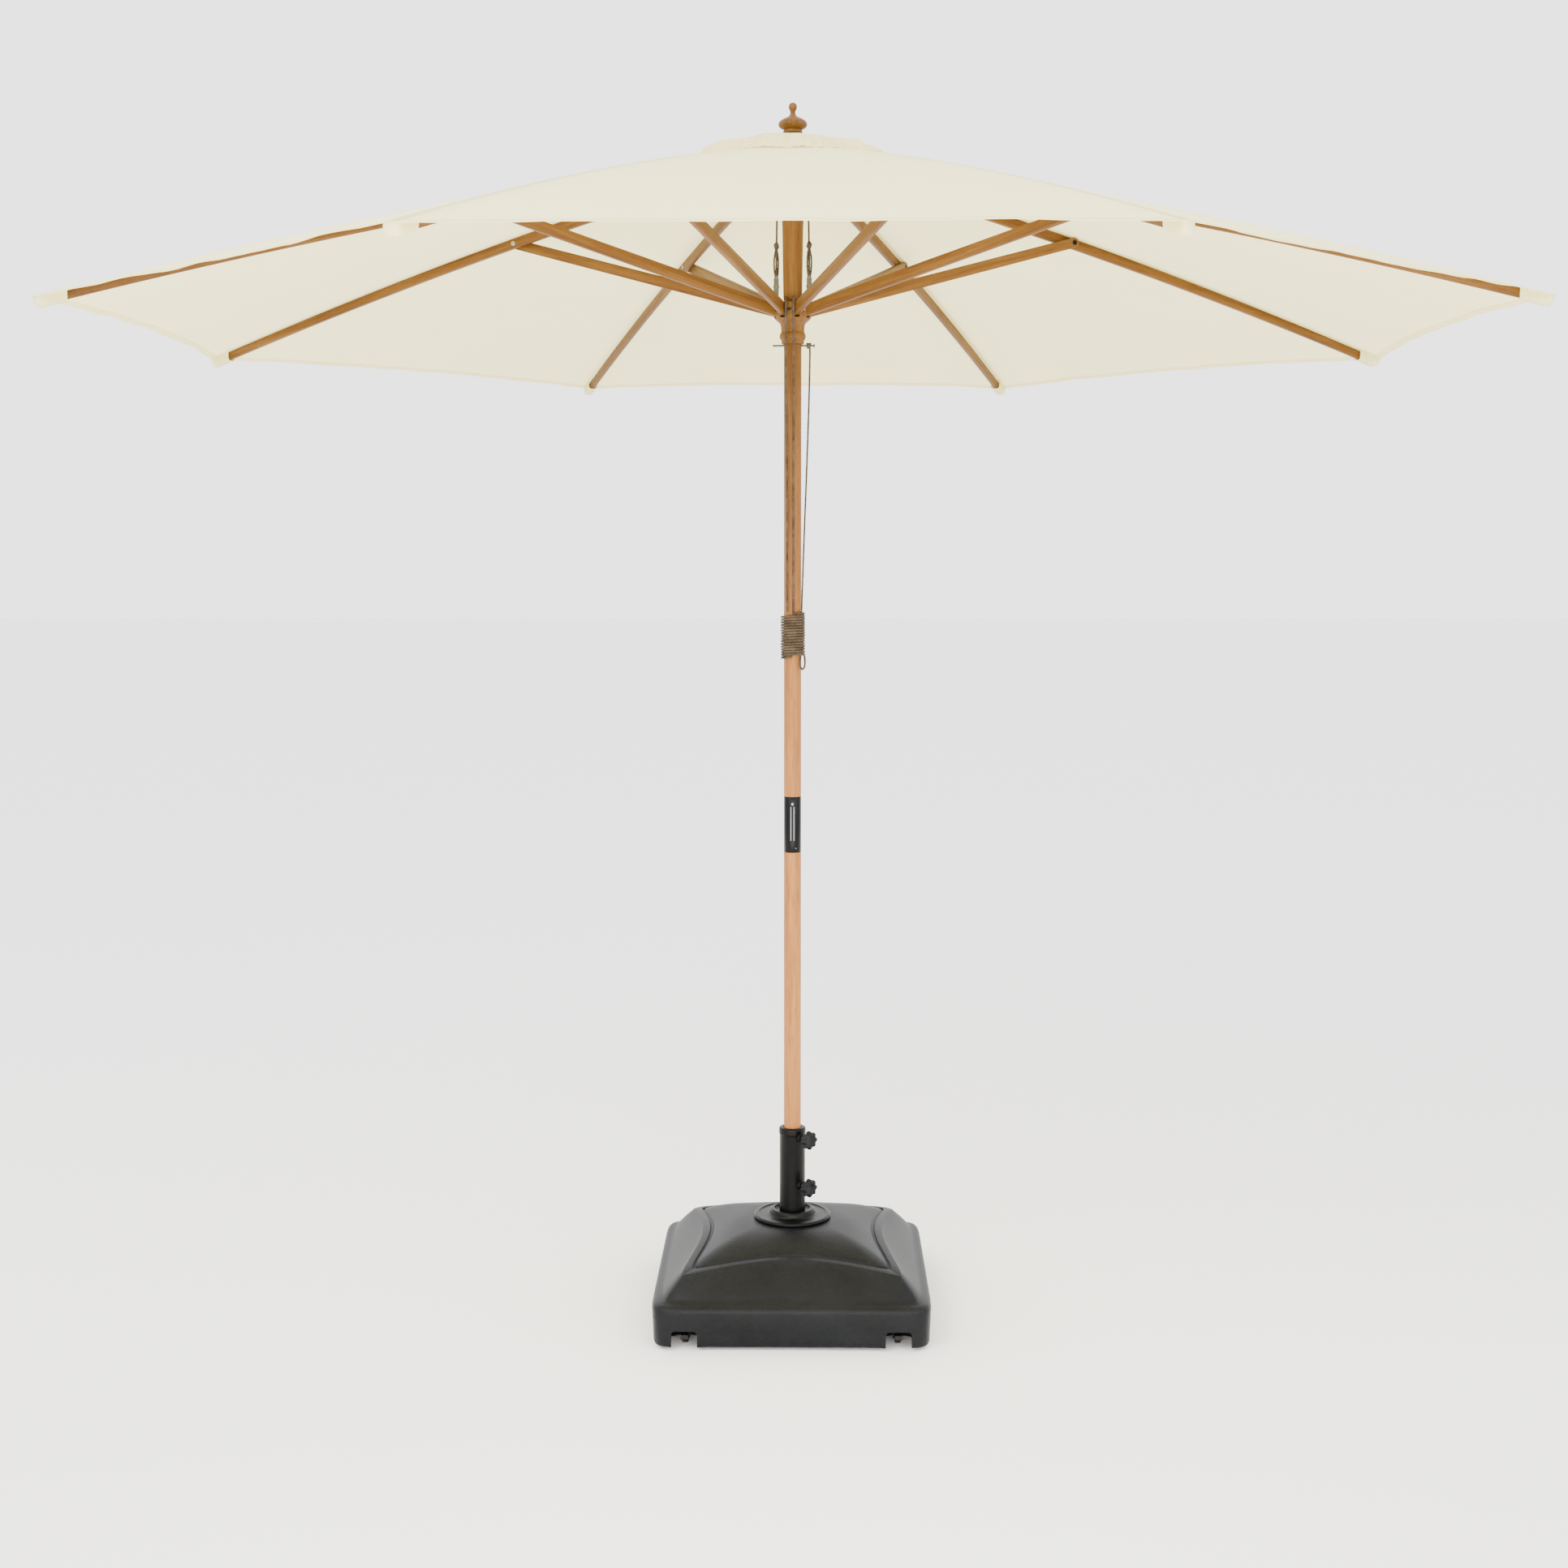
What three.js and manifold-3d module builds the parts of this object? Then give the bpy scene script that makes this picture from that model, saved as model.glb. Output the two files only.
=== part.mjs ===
// A wooden pulley parasol standing in a fillable wheeled base.
// Millimetres, +Z up, origin on the floor under the middle of the pole.
import * as THREE from "three";
import { mergeVertices } from "three/addons/utils/BufferGeometryUtils.js";
import Module from "manifold-3d";

const wasm = await Module();
wasm.setup();

// ---- driving dimensions ----
const GAP = 0.4; // clearance between pieces that touch
const RIBS = 8;
const RIB_STEP = (2 * Math.PI) / RIBS;
const FIRST_RIB = RIB_STEP / 2;

const TANK_HALF = 292; // half the width of the base
const TANK_BOTTOM = 6;
const SKIRT_TOP = 92;
const DOME_TOP = 196;
const FLANGE_R = 84;
const TUBE_R = 28;
const TUBE_BORE = 20;
const TUBE_TOP = 397;
const TUBE_FLOOR = 206;
const KNOB_HEIGHTS = { upper_knob: 378, lower_knob: 272 };
const KNOB_TURN = -0.87; // direction in which the knobs point, from +X
const FILL_CAP_Y = 150;
const FILL_CAP_R = 22;

const CASTER_X = 222;
const CASTER_Y = 247;
const WHEEL_R = 17;
const WHEEL_WIDTH = 13;
const TRAIL = 13; // the wheel's axle behind the swivel stem

const POLE_R = 18.5;
const JOINT_Z = 1063; // where the two lengths of the pole meet
const SLEEVE_HALF = 60;
const SLEEVE_WALL = 1.5;
const POLE_TOP = 2370;

const HUB_PIVOT = { r: 36, z: 2462 };
const RUNNER_PIVOT = { r: 34, z: 2146 };
const ELBOW = { r: 665, z: 2323 }; // where a strut meets its rib
const RIB_TIP = { r: 1488, z: 2096 };
const RIB_BOW = 20;
const BAR_WIDTH = 12;
const BAR_SIDE = BAR_WIDTH / 2 + 0.3; // ribs and struts lap side by side
const ROOT_R = 12;
const TIP_DEPTH = 18;
const RING_R = 2;
const PIN_HOLE_R = 2.8;
const SLOT_WIDTH = 13.2;

const CANOPY_EYE = 62; // radius of the hole in the top of the canopy
const CANOPY_R = 1503;
const CANOPY_CLOTH = 1.2;
const CANOPY_LIFT = 4; // the flat panels clear the near edge of each rib
const SCALLOP = 36; // how far the hem curves in between two ribs
const CANOPY_SAG = 4;
const VENT_R = 200;

const LOCK_PIN_Z = 2074.5;
const ROPE_R = 2.5;
const WRAP = { low: 1418, high: 1517, inner: 18.9, outer: 28.2 };
const BLOCK_X = 34.5; // the pulley blocks stand this far to the side
const MID_GAP = BAR_SIDE * Math.cos(RIB_STEP / 2); // middle of the gap between two neighbouring bars
const FILL_CAP_FOOT = 160;

// ---- materials ----
const material = (color, roughness, metalness = 0) =>
  new THREE.MeshStandardMaterial({ color, roughness, metalness });
const hardwood = material(0xa8702f, 0.5);
const paleWood = material(0xc9956b, 0.5);
const canvas = material(0xf3eedb, 0.9);
const plastic = material(0x26272a, 0.55);
const blackSteel = material(0x17181a, 0.4, 0.6);
const steel = material(0xb9bcc0, 0.25, 1);
const darkSteel = material(0x55534f, 0.35, 0.9);
const cordage = material(0x8f7d68, 0.85);
const tread = material(0x111111, 0.8);

// ---- geometry helpers ----
const up = new THREE.Vector3(0, 0, 1);
const v = (x, y, z) => new THREE.Vector3(x, y, z);

function toSolid(geometry) {
  const bare = geometry.clone();
  bare.deleteAttribute("normal");
  bare.deleteAttribute("uv");
  const merged = mergeVertices(bare, 1e-3);
  return new wasm.Manifold(
    new wasm.Mesh({
      numProp: 3,
      vertProperties: new Float32Array(merged.attributes.position.array),
      triVerts: new Uint32Array(merged.index.array),
    }),
  );
}

function toGeometry(solid) {
  const mesh = solid.getMesh();
  const geometry = new THREE.BufferGeometry();
  geometry.setAttribute("position", new THREE.BufferAttribute(mesh.vertProperties, 3));
  geometry.setIndex(new THREE.BufferAttribute(mesh.triVerts, 1));
  geometry.computeVertexNormals();
  return geometry;
}

const cut = (geometry, ...tools) =>
  toGeometry(tools.reduce((left, tool) => left.subtract(toSolid(tool)), toSolid(geometry)));
const join = (geometry, ...others) =>
  toGeometry(others.reduce((whole, other) => whole.add(toSolid(other)), toSolid(geometry)));

function box(x0, x1, y0, y1, z0, z1) {
  const geometry = new THREE.BoxGeometry(x1 - x0, y1 - y0, z1 - z0);
  return geometry.translate((x0 + x1) / 2, (y0 + y1) / 2, (z0 + z1) / 2);
}

function rod(radius, from, to, sides = 16) {
  const along = to.clone().sub(from);
  const geometry = new THREE.CylinderGeometry(radius, radius, along.length(), sides);
  geometry.rotateX(Math.PI / 2);
  geometry.applyQuaternion(new THREE.Quaternion().setFromUnitVectors(up, along.clone().normalize()));
  const middle = from.clone().add(to).divideScalar(2);
  return geometry.translate(middle.x, middle.y, middle.z);
}

// Turns an outline of [radius, height] pairs about Z. The outline runs from the bottom up the outside.
function lathe(outline, segments = 32) {
  const points = outline.map(([r, z]) => new THREE.Vector2(r, z));
  return new THREE.LatheGeometry(points, segments).rotateX(Math.PI / 2);
}

// A closed ring section: the outline goes up the outside, down the bore and back to its start.
const ringLathe = (outline, segments = 32) => lathe([...outline, outline[0]], segments);

// Stands a side view (x outwards, y up) on edge, from t0 to t1 across the bar.
function bar(shape, t0, t1, curveSegments = 6) {
  const settings = { depth: t1 - t0, bevelEnabled: false, curveSegments };
  return new THREE.ExtrudeGeometry(shape, settings).translate(0, 0, -t1).rotateX(Math.PI / 2);
}

function polygonSection(radius, sides) {
  const corners = [];
  for (let i = 0; i < sides; i += 1) {
    const a = (2 * Math.PI * i) / sides;
    corners.push(new THREE.Vector2(radius * Math.cos(a), radius * Math.sin(a)));
  }
  return new THREE.Shape(corners);
}

function tube(points, radius, steps, sides = 8) {
  const extrudePath = new THREE.CatmullRomCurve3(points, false, "centripetal");
  const settings = { steps, bevelEnabled: false, extrudePath };
  return new THREE.ExtrudeGeometry(polygonSection(radius, sides), settings);
}

// A mesh from loops of equal length, stacked from the first to the last, with flat caps at the ends.
function loft(loops) {
  const count = loops[0].length;
  const positions = loops.flat();
  const faces = [];
  const corner = (k, i) => k * count + (i % count);
  for (let k = 0; k + 1 < loops.length; k += 1) {
    for (let i = 0; i < count; i += 1) {
      faces.push(corner(k, i), corner(k, i + 1), corner(k + 1, i + 1));
      faces.push(corner(k, i), corner(k + 1, i + 1), corner(k + 1, i));
    }
  }
  const centreOf = (loop) =>
    loop.reduce((sum, p) => sum.add(p), v(0, 0, 0)).divideScalar(loop.length);
  const bottom = positions.length;
  positions.push(centreOf(loops[0].map((p) => p.clone())));
  positions.push(centreOf(loops[loops.length - 1].map((p) => p.clone())));
  for (let i = 0; i < count; i += 1) {
    faces.push(bottom, corner(0, i + 1), corner(0, i));
    faces.push(bottom + 1, corner(loops.length - 1, i), corner(loops.length - 1, i + 1));
  }
  const geometry = new THREE.BufferGeometry().setFromPoints(positions);
  geometry.setIndex(faces);
  geometry.computeVertexNormals();
  return geometry;
}

const parasol = new THREE.Group();
function add(name, geometry, finish, parent = parasol) {
  const mesh = new THREE.Mesh(geometry, finish);
  mesh.name = name;
  parent.add(mesh);
  return mesh;
}

function turned(angle) {
  const group = new THREE.Group();
  group.rotation.z = angle;
  parasol.add(group);
  return group;
}

// ---- base ----
const LOOP_POINTS = 48;
function loop(radiusAt, heightAt) {
  const points = [];
  for (let i = 0; i < LOOP_POINTS; i += 1) {
    const a = (2 * Math.PI * (i + 0.5)) / LOOP_POINTS;
    const r = radiusAt(a);
    points.push(v(r * Math.cos(a), r * Math.sin(a), heightAt(a)));
  }
  return points;
}

const SQUARENESS = 14;
const roundedSquare = (half) => (a) =>
  half / (Math.abs(Math.cos(a)) ** SQUARENESS + Math.abs(Math.sin(a)) ** SQUARENESS) ** (1 / SQUARENESS);

// How near a direction is to a corner: 0 on the middle of a side, 1 on the diagonal.
function cornerness(a) {
  const c = Math.abs(Math.cos(a));
  const s = Math.abs(Math.sin(a));
  return Math.min(c, s) / Math.max(c, s);
}

const pincushion = (middle, corner) => (a) =>
  (middle + (corner - middle) * cornerness(a) ** 2) /
  Math.max(Math.abs(Math.cos(a)), Math.abs(Math.sin(a)));

function buildTank() {
  const level = (z) => () => z;
  let tank = loft([
    loop(roundedSquare(TANK_HALF - 2), level(TANK_BOTTOM)),
    loop(roundedSquare(TANK_HALF), level(TANK_BOTTOM + 4)),
    loop(roundedSquare(TANK_HALF), level(SKIRT_TOP - 10)),
    loop(roundedSquare(TANK_HALF - 3), level(SKIRT_TOP - 3)),
    loop(roundedSquare(TANK_HALF - 10), level(SKIRT_TOP + 2)),
    loop(pincushion(197, 238), (a) => 161.5 - 22 * cornerness(a) ** 2),
    loop(pincushion(176, 213), (a) => 166 - 17 * cornerness(a) ** 2),
    loop(pincushion(140, 150), (a) => 181 - 7 * cornerness(a) ** 2),
    loop(level(FLANGE_R + 4), level(DOME_TOP)),
  ]);
  const cutters = [];
  for (const sx of [-1, 1]) {
    for (const sy of [-1, 1]) {
      const x = sx * CASTER_X;
      const y = sy * CASTER_Y;
      const outside = sy * (TANK_HALF + 20);
      cutters.push(rod(40, v(x, y, -1), v(x, y, 48), 20));
      cutters.push(box(x - 26, x + 26, Math.min(y, outside), Math.max(y, outside), -1, 42));
      cutters.push(rod(5.5, v(x, y, 40), v(x, y, 76), 12));
    }
  }
  cutters.push(rod(FILL_CAP_R + 1, v(0, FILL_CAP_Y, FILL_CAP_FOOT), v(0, FILL_CAP_Y, 210), 20));
  tank = cut(tank, ...cutters);
  add("base_tank", tank, plastic);
}

function buildFillCap() {
  const foot = FILL_CAP_FOOT + GAP;
  const cap = lathe([
    [0, foot],
    [FILL_CAP_R, foot],
    [FILL_CAP_R, foot + 11],
    [FILL_CAP_R - 2, foot + 13],
    [0, foot + 13],
  ], 20);
  const grip = box(-FILL_CAP_R + 5, FILL_CAP_R - 5, -2.5, 2.5, foot + 12, foot + 19);
  add("fill_cap", join(cap, grip), plastic).position.y = FILL_CAP_Y;
}

function buildSocket() {
  const foot = DOME_TOP + GAP;
  add("base_flange", ringLathe([
    [TUBE_R + GAP, foot],
    [FLANGE_R - 3, foot],
    [FLANGE_R, foot + 4],
    [FLANGE_R - 3, foot + 8],
    [52, foot + 9],
    [48, foot + 17],
    [42, foot + 20],
    [38, foot + 15],
    [TUBE_R + GAP, foot + 15],
  ]), blackSteel);
  let tubeWall = lathe([
    [0, foot],
    [TUBE_R, foot],
    [TUBE_R, TUBE_TOP - 14],
    [TUBE_R + 1, TUBE_TOP - 12],
    [TUBE_R + 1, TUBE_TOP - 2],
    [TUBE_R - 1, TUBE_TOP],
    [TUBE_BORE, TUBE_TOP],
    [TUBE_BORE, TUBE_FLOOR],
    [0, TUBE_FLOOR],
  ], 32);
  const out = v(Math.cos(KNOB_TURN), Math.sin(KNOB_TURN), 0);
  for (const height of Object.values(KNOB_HEIGHTS)) {
    const at = (distance) => out.clone().multiplyScalar(distance).setZ(height);
    tubeWall = join(tubeWall, rod(9, at(TUBE_R - 4), at(TUBE_R + 6), 12));
    tubeWall = cut(tubeWall, rod(4.6, at(TUBE_BORE - 4), at(TUBE_R + 8), 12));
  }
  add("socket_tube", tubeWall, blackSteel);
}

// A lobed clamp knob on a threaded stud, modelled along +X and turned to KNOB_TURN.
function buildKnob(name, height) {
  const lobes = 8;
  const outline = [];
  for (let i = 0; i < lobes * 4; i += 1) {
    const a = (2 * Math.PI * i) / (lobes * 4);
    const r = 18.5 + 1.8 * Math.cos(lobes * a);
    outline.push(new THREE.Vector2(r * Math.cos(a), r * Math.sin(a)));
  }
  const settings = { depth: 13, bevelEnabled: false };
  const wheel = new THREE.ExtrudeGeometry(new THREE.Shape(outline), settings);
  wheel.rotateY(Math.PI / 2).translate(50, 0, 0);
  const neck = rod(8, v(43, 0, 0), v(51, 0, 0), 12);
  const stud = rod(4, v(POLE_R + GAP, 0, 0), v(51, 0, 0), 12);
  const knob = add(name, join(wheel, neck, stud), plastic, turned(KNOB_TURN));
  knob.position.z = height;
}

function buildCaster(name, sx, sy) {
  const place = new THREE.Group();
  place.position.set(sx * CASTER_X, sy * CASTER_Y, 0);
  parasol.add(place);
  const away = -sy * TRAIL; // the wheel trails towards the middle of the base
  const near = Math.min(-10 * sy, away + sy * -9);
  const far = Math.max(-10 * sy, away + sy * -9);
  const inside = WHEEL_WIDTH / 2 + 0.8;
  const outside = inside + 2.5;
  const fork = join(
    box(-outside, outside, Math.min(near, -far, -10), Math.max(far, -near, 10), 40, 43),
    rod(5, v(0, 0, 42), v(0, 0, 74), 12),
    box(-outside, -inside, away - 7, away + 7, 11, 41),
    box(inside, outside, away - 7, away + 7, 11, 41),
    rod(2.5, v(-outside, away, WHEEL_R), v(outside, away, WHEEL_R), 10),
  );
  add(`${name}_fork`, fork, blackSteel, place);
  const half = WHEEL_WIDTH / 2;
  const wheel = ringLathe([
    [3, -half],
    [WHEEL_R - 2, -half],
    [WHEEL_R, -half + 2],
    [WHEEL_R, half - 2],
    [WHEEL_R - 2, half],
    [3, half],
  ], 24);
  wheel.rotateY(Math.PI / 2).translate(0, away, WHEEL_R);
  add(`${name}_wheel`, wheel, tread, place);
  return place;
}

function buildBrake(name, place) {
  const side = new THREE.Shape();
  side.moveTo(-12, 29);
  side.lineTo(-9.5, 29);
  side.lineTo(-9.5, 39);
  side.lineTo(-29, 30);
  side.lineTo(-31, 22);
  side.lineTo(-28.5, 21.4);
  side.lineTo(-27, 28);
  side.lineTo(-12, 35);
  side.closePath();
  const pedal = bar(side, -8, 8);
  pedal.rotateZ(Math.PI / 2);
  add(name, pedal, blackSteel, place);
}

buildTank();
buildFillCap();
buildSocket();
for (const [name, height] of Object.entries(KNOB_HEIGHTS)) buildKnob(name, height);
for (const [end, sy] of [["front", -1], ["rear", 1]]) {
  for (const [side, sx] of [["left", -1], ["right", 1]]) {
    const place = buildCaster(`caster_${end}_${side}`, sx, sy);
    if (end === "front") buildBrake(`brake_${side}`, place);
  }
}

// ---- pole ----
function buildPole() {
  const tenon = POLE_R - SLEEVE_WALL - GAP;
  const bottom = TUBE_FLOOR + GAP;
  const lowShoulder = JOINT_Z - SLEEVE_HALF - GAP;
  const highShoulder = JOINT_Z + SLEEVE_HALF + GAP;
  add("lower_pole", lathe([
    [0, bottom],
    [POLE_R - 1, bottom],
    [POLE_R, bottom + 2],
    [POLE_R, lowShoulder],
    [tenon, lowShoulder],
    [tenon, JOINT_Z - GAP],
    [0, JOINT_Z - GAP],
  ]), paleWood);
  const button = rod(3.4, v(0, -tenon - 2, JOINT_Z + 45), v(0, -tenon + 7, JOINT_Z + 45), 12);
  const pinHole = rod(2.7, v(-30, 0, LOCK_PIN_Z), v(30, 0, LOCK_PIN_Z), 12);
  const upper = lathe([
    [0, JOINT_Z],
    [tenon, JOINT_Z],
    [tenon, highShoulder],
    [POLE_R, highShoulder],
    [POLE_R, POLE_TOP],
    [0, POLE_TOP],
  ]);
  add("upper_pole", cut(upper, button, pinHole), paleWood);
}

// A split steel sleeve: the slot is left open at the front, and the button stands in its top end.
function buildSleeve() {
  const low = JOINT_Z - SLEEVE_HALF;
  const high = JOINT_Z + SLEEVE_HALF;
  const wall = ringLathe([
    [POLE_R - SLEEVE_WALL, low],
    [POLE_R, low],
    [POLE_R, high],
    [POLE_R - SLEEVE_WALL, high],
  ]);
  const slot = box(-2.6, 2.6, -POLE_R - 2, -POLE_R + 6, JOINT_Z - 32, JOINT_Z + 40);
  const buttonHole = rod(3.6, v(0, -POLE_R - 2, JOINT_Z + 45), v(0, -POLE_R + 6, JOINT_Z + 45), 12);
  add("ferrule_sleeve", cut(wall, slot, buttonHole), darkSteel);
  const button = rod(3, v(0, -POLE_R - 0.8, JOINT_Z + 45), v(0, -POLE_R + 4, JOINT_Z + 45), 12);
  add("ferrule_button", button, steel);
}

// ---- hub, finial and vent ----
const ribTurns = [];
for (let i = 0; i < RIBS; i += 1) ribTurns.push(FIRST_RIB + i * RIB_STEP);

function slots(low, high, inner, side) {
  return ribTurns.map((angle) => {
    const slot = box(inner, 70, side - SLOT_WIDTH / 2, side + SLOT_WIDTH / 2, low, high);
    return slot.rotateZ(angle);
  });
}

// An eight-sided wire ring with a straight side across each slot.
function wireRing(radius, z) {
  const reach = radius / Math.cos(RIB_STEP / 2);
  const section = [];
  for (let i = 0; i < 8; i += 1) {
    const a = (2 * Math.PI * i) / 8;
    section.push([reach + RING_R * Math.cos(a), z + RING_R * Math.sin(a)]);
  }
  return ringLathe(section, RIBS);
}

function ringGroove(radius, z, rim) {
  const inner = radius - RING_R - 1;
  return ringLathe([
    [inner, z - RING_R - 0.8],
    [rim + 2, z - RING_R - 0.8],
    [rim + 2, z + RING_R + 0.8],
    [inner, z + RING_R + 0.8],
  ]);
}

const HUB_RIM = 46;
function buildHub() {
  const bore = POLE_R + GAP;
  const body = lathe([
    [0, POLE_TOP + GAP],
    [bore, POLE_TOP + GAP],
    [bore, 2227],
    [bore + 1.6, 2227],
    [22, 2316],
    [26, 2392],
    [30, 2412],
    [HUB_RIM, 2436],
    [HUB_RIM, 2484],
    [HUB_RIM - 3, 2487],
    [14, 2490],
    [11, 2494],
    [11, 2506],
    [0, 2506],
  ]);
  const inner = HUB_PIVOT.r - ROOT_R - 1;
  const sheaveSlots = [0, Math.PI].map((angle) => {
    const slot = box(8, 40, MID_GAP - 3.6, MID_GAP + 3.6, 2384, 2414);
    return slot.rotateZ(angle);
  });
  const hub = cut(
    body,
    ...slots(2380, 2476, inner, BAR_SIDE),
    ringGroove(HUB_PIVOT.r, HUB_PIVOT.z, HUB_RIM),
    ...sheaveSlots,
  );
  add("hub", hub, hardwood);
  add("hub_ring", wireRing(HUB_PIVOT.r, HUB_PIVOT.z), steel);
}

// A grooved wheel whose axle runs across the slot.
function sheave(radius, width) {
  const half = width / 2;
  const geometry = lathe([
    [0, -half - 0.9],
    [2, -half - 0.9],
    [2, -half],
    [radius, -half],
    [radius - 2, 0],
    [radius, half],
    [2, half],
    [2, half + 0.9],
    [0, half + 0.9],
  ], 16);
  return geometry.rotateX(Math.PI / 2);
}

function buildSheaves() {
  for (const [side, angle] of [["right", 0], ["left", Math.PI]]) {
    const wheel = sheave(9, 4);
    add(`hub_sheave_${side}`, wheel.translate(20, MID_GAP, 2399), steel, turned(angle));
  }
}

function buildFinial() {
  const foot = 2508;
  add("finial", lathe([
    [0, foot],
    [13, foot],
    [14.5, foot + 4],
    [14, foot + 7],
    [20, foot + 13],
    [21, foot + 18],
    [19, foot + 24],
    [12, foot + 30],
    [6, foot + 34],
    [4, foot + 41],
    [4.5, foot + 47],
    [6.2, foot + 53],
    [5.4, foot + 59],
    [3, foot + 62],
    [0, foot + 62.5],
  ], 24), hardwood);
}

// ---- canopy ----
const ribMiddle = (r) => {
  const u = (r - HUB_PIVOT.r) / (RIB_TIP.r - HUB_PIVOT.r);
  return HUB_PIVOT.z + (RIB_TIP.z - HUB_PIVOT.z) * u + 4 * RIB_BOW * u * (1 - u);
};
const ribDepth = (r) => {
  const u = (r - HUB_PIVOT.r) / (RIB_TIP.r - HUB_PIVOT.r);
  return 2 * ROOT_R + (TIP_DEPTH - 2 * ROOT_R) * u;
};
const ribTop = (r) => ribMiddle(r) + ribDepth(r) / 2;

// The cloth runs straight from rib to rib, with a little sag and a scalloped hem between them.
function clothPoint(share, across, lift) {
  const between = Math.cos((Math.PI * across) / 2) ** 2;
  const hem = CANOPY_R - SCALLOP * between;
  const r = CANOPY_EYE + (hem - CANOPY_EYE) * share;
  const half = RIB_STEP / 2;
  const x = r * Math.cos(half);
  const y = r * Math.sin(half) * across;
  const sag = CANOPY_SAG * between * Math.sin(Math.PI * Math.min(share, 0.5));
  return v(x, y, ribTop(r) + CANOPY_LIFT - sag + lift);
}

const PANEL_STEPS = 4;
const CLOTH_ROWS = 9;
function clothLoop(share, lift) {
  const points = [];
  for (let panel = 0; panel < RIBS; panel += 1) {
    for (let step = 0; step < PANEL_STEPS; step += 1) {
      const across = (2 * step) / PANEL_STEPS - 1;
      points.push(clothPoint(share, across, lift).applyAxisAngle(up, panel * RIB_STEP));
    }
  }
  return points;
}

// Joins loops into a closed band: the last loop runs back to the first.
function closedBand(loops) {
  const count = loops[0].length;
  const faces = [];
  const corner = (k, i) => (k % loops.length) * count + (i % count);
  for (let k = 0; k < loops.length; k += 1) {
    for (let i = 0; i < count; i += 1) {
      faces.push(corner(k, i), corner(k, i + 1), corner(k + 1, i + 1));
      faces.push(corner(k, i), corner(k + 1, i + 1), corner(k + 1, i));
    }
  }
  const geometry = new THREE.BufferGeometry().setFromPoints(loops.flat());
  geometry.setIndex(faces);
  geometry.computeVertexNormals();
  return geometry;
}

function buildCanopy() {
  const loops = [];
  for (let row = CLOTH_ROWS; row >= 0; row -= 1) loops.push(clothLoop(row / CLOTH_ROWS, CANOPY_CLOTH));
  for (let row = 0; row <= CLOTH_ROWS; row += 1) loops.push(clothLoop(row / CLOTH_ROWS, 0));
  add("canopy", closedBand(loops), canvas);
}

// The small cap over the eye of the canopy, held under the finial.
function buildVent() {
  const ventLoop = (r, z) => {
    const points = [];
    for (let i = 0; i < RIBS * 3; i += 1) {
      const a = FIRST_RIB + (RIB_STEP * i) / 3;
      const between = i % 3 === 0 ? 0 : 1;
      points.push(v((r - between * r * 0.055) * Math.cos(a), (r - between * r * 0.055) * Math.sin(a), z));
    }
    return points;
  };
  const crown = 2506;
  const hem = 2466;
  add("vent_cap", closedBand([
    ventLoop(VENT_R, hem + 1.2),
    ventLoop(110, 2491 + 1.2),
    ventLoop(13, crown + 1.2),
    ventLoop(13, crown),
    ventLoop(110, 2491),
    ventLoop(VENT_R, hem),
  ]), canvas);
}

// ---- ribs, struts and runner ----
function buildRib(index, angle) {
  const edge = [];
  const stations = 10;
  for (let i = 0; i <= stations; i += 1) {
    edge.push(RIB_TIP.r + ((HUB_PIVOT.r - RIB_TIP.r) * i) / stations);
  }
  const side = new THREE.Shape();
  side.moveTo(edge[0], ribTop(edge[0]));
  for (const r of edge.slice(1)) side.lineTo(r, ribTop(r));
  side.absarc(HUB_PIVOT.r, HUB_PIVOT.z, ROOT_R, Math.PI / 2, 1.5 * Math.PI, false);
  for (const r of edge.reverse().slice(1)) side.lineTo(r, ribMiddle(r) - ribDepth(r) / 2);
  side.closePath();
  const hole = new THREE.Path();
  hole.absarc(HUB_PIVOT.r, HUB_PIVOT.z, PIN_HOLE_R, 0, 2 * Math.PI, true);
  side.holes.push(hole);
  const geometry = bar(side, BAR_SIDE - BAR_WIDTH / 2, BAR_SIDE + BAR_WIDTH / 2);
  add(`rib_${index + 1}`, geometry, hardwood, turned(angle));
}

function buildStrut(index, angle) {
  const lean = Math.atan2(ELBOW.z - RUNNER_PIVOT.z, ELBOW.r - RUNNER_PIVOT.r);
  const quarter = Math.PI / 2;
  const side = new THREE.Shape();
  side.absarc(ELBOW.r, ELBOW.z, ROOT_R - 1, lean - quarter, lean + quarter, false);
  side.absarc(RUNNER_PIVOT.r, RUNNER_PIVOT.z, ROOT_R, lean + quarter, lean + 3 * quarter, false);
  side.closePath();
  for (const end of [RUNNER_PIVOT, ELBOW]) {
    const hole = new THREE.Path();
    hole.absarc(end.r, end.z, PIN_HOLE_R, 0, 2 * Math.PI, true);
    side.holes.push(hole);
  }
  const geometry = bar(side, -BAR_SIDE - BAR_WIDTH / 2, -BAR_SIDE + BAR_WIDTH / 2);
  add(`strut_${index + 1}`, geometry, hardwood, turned(angle));
}

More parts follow.
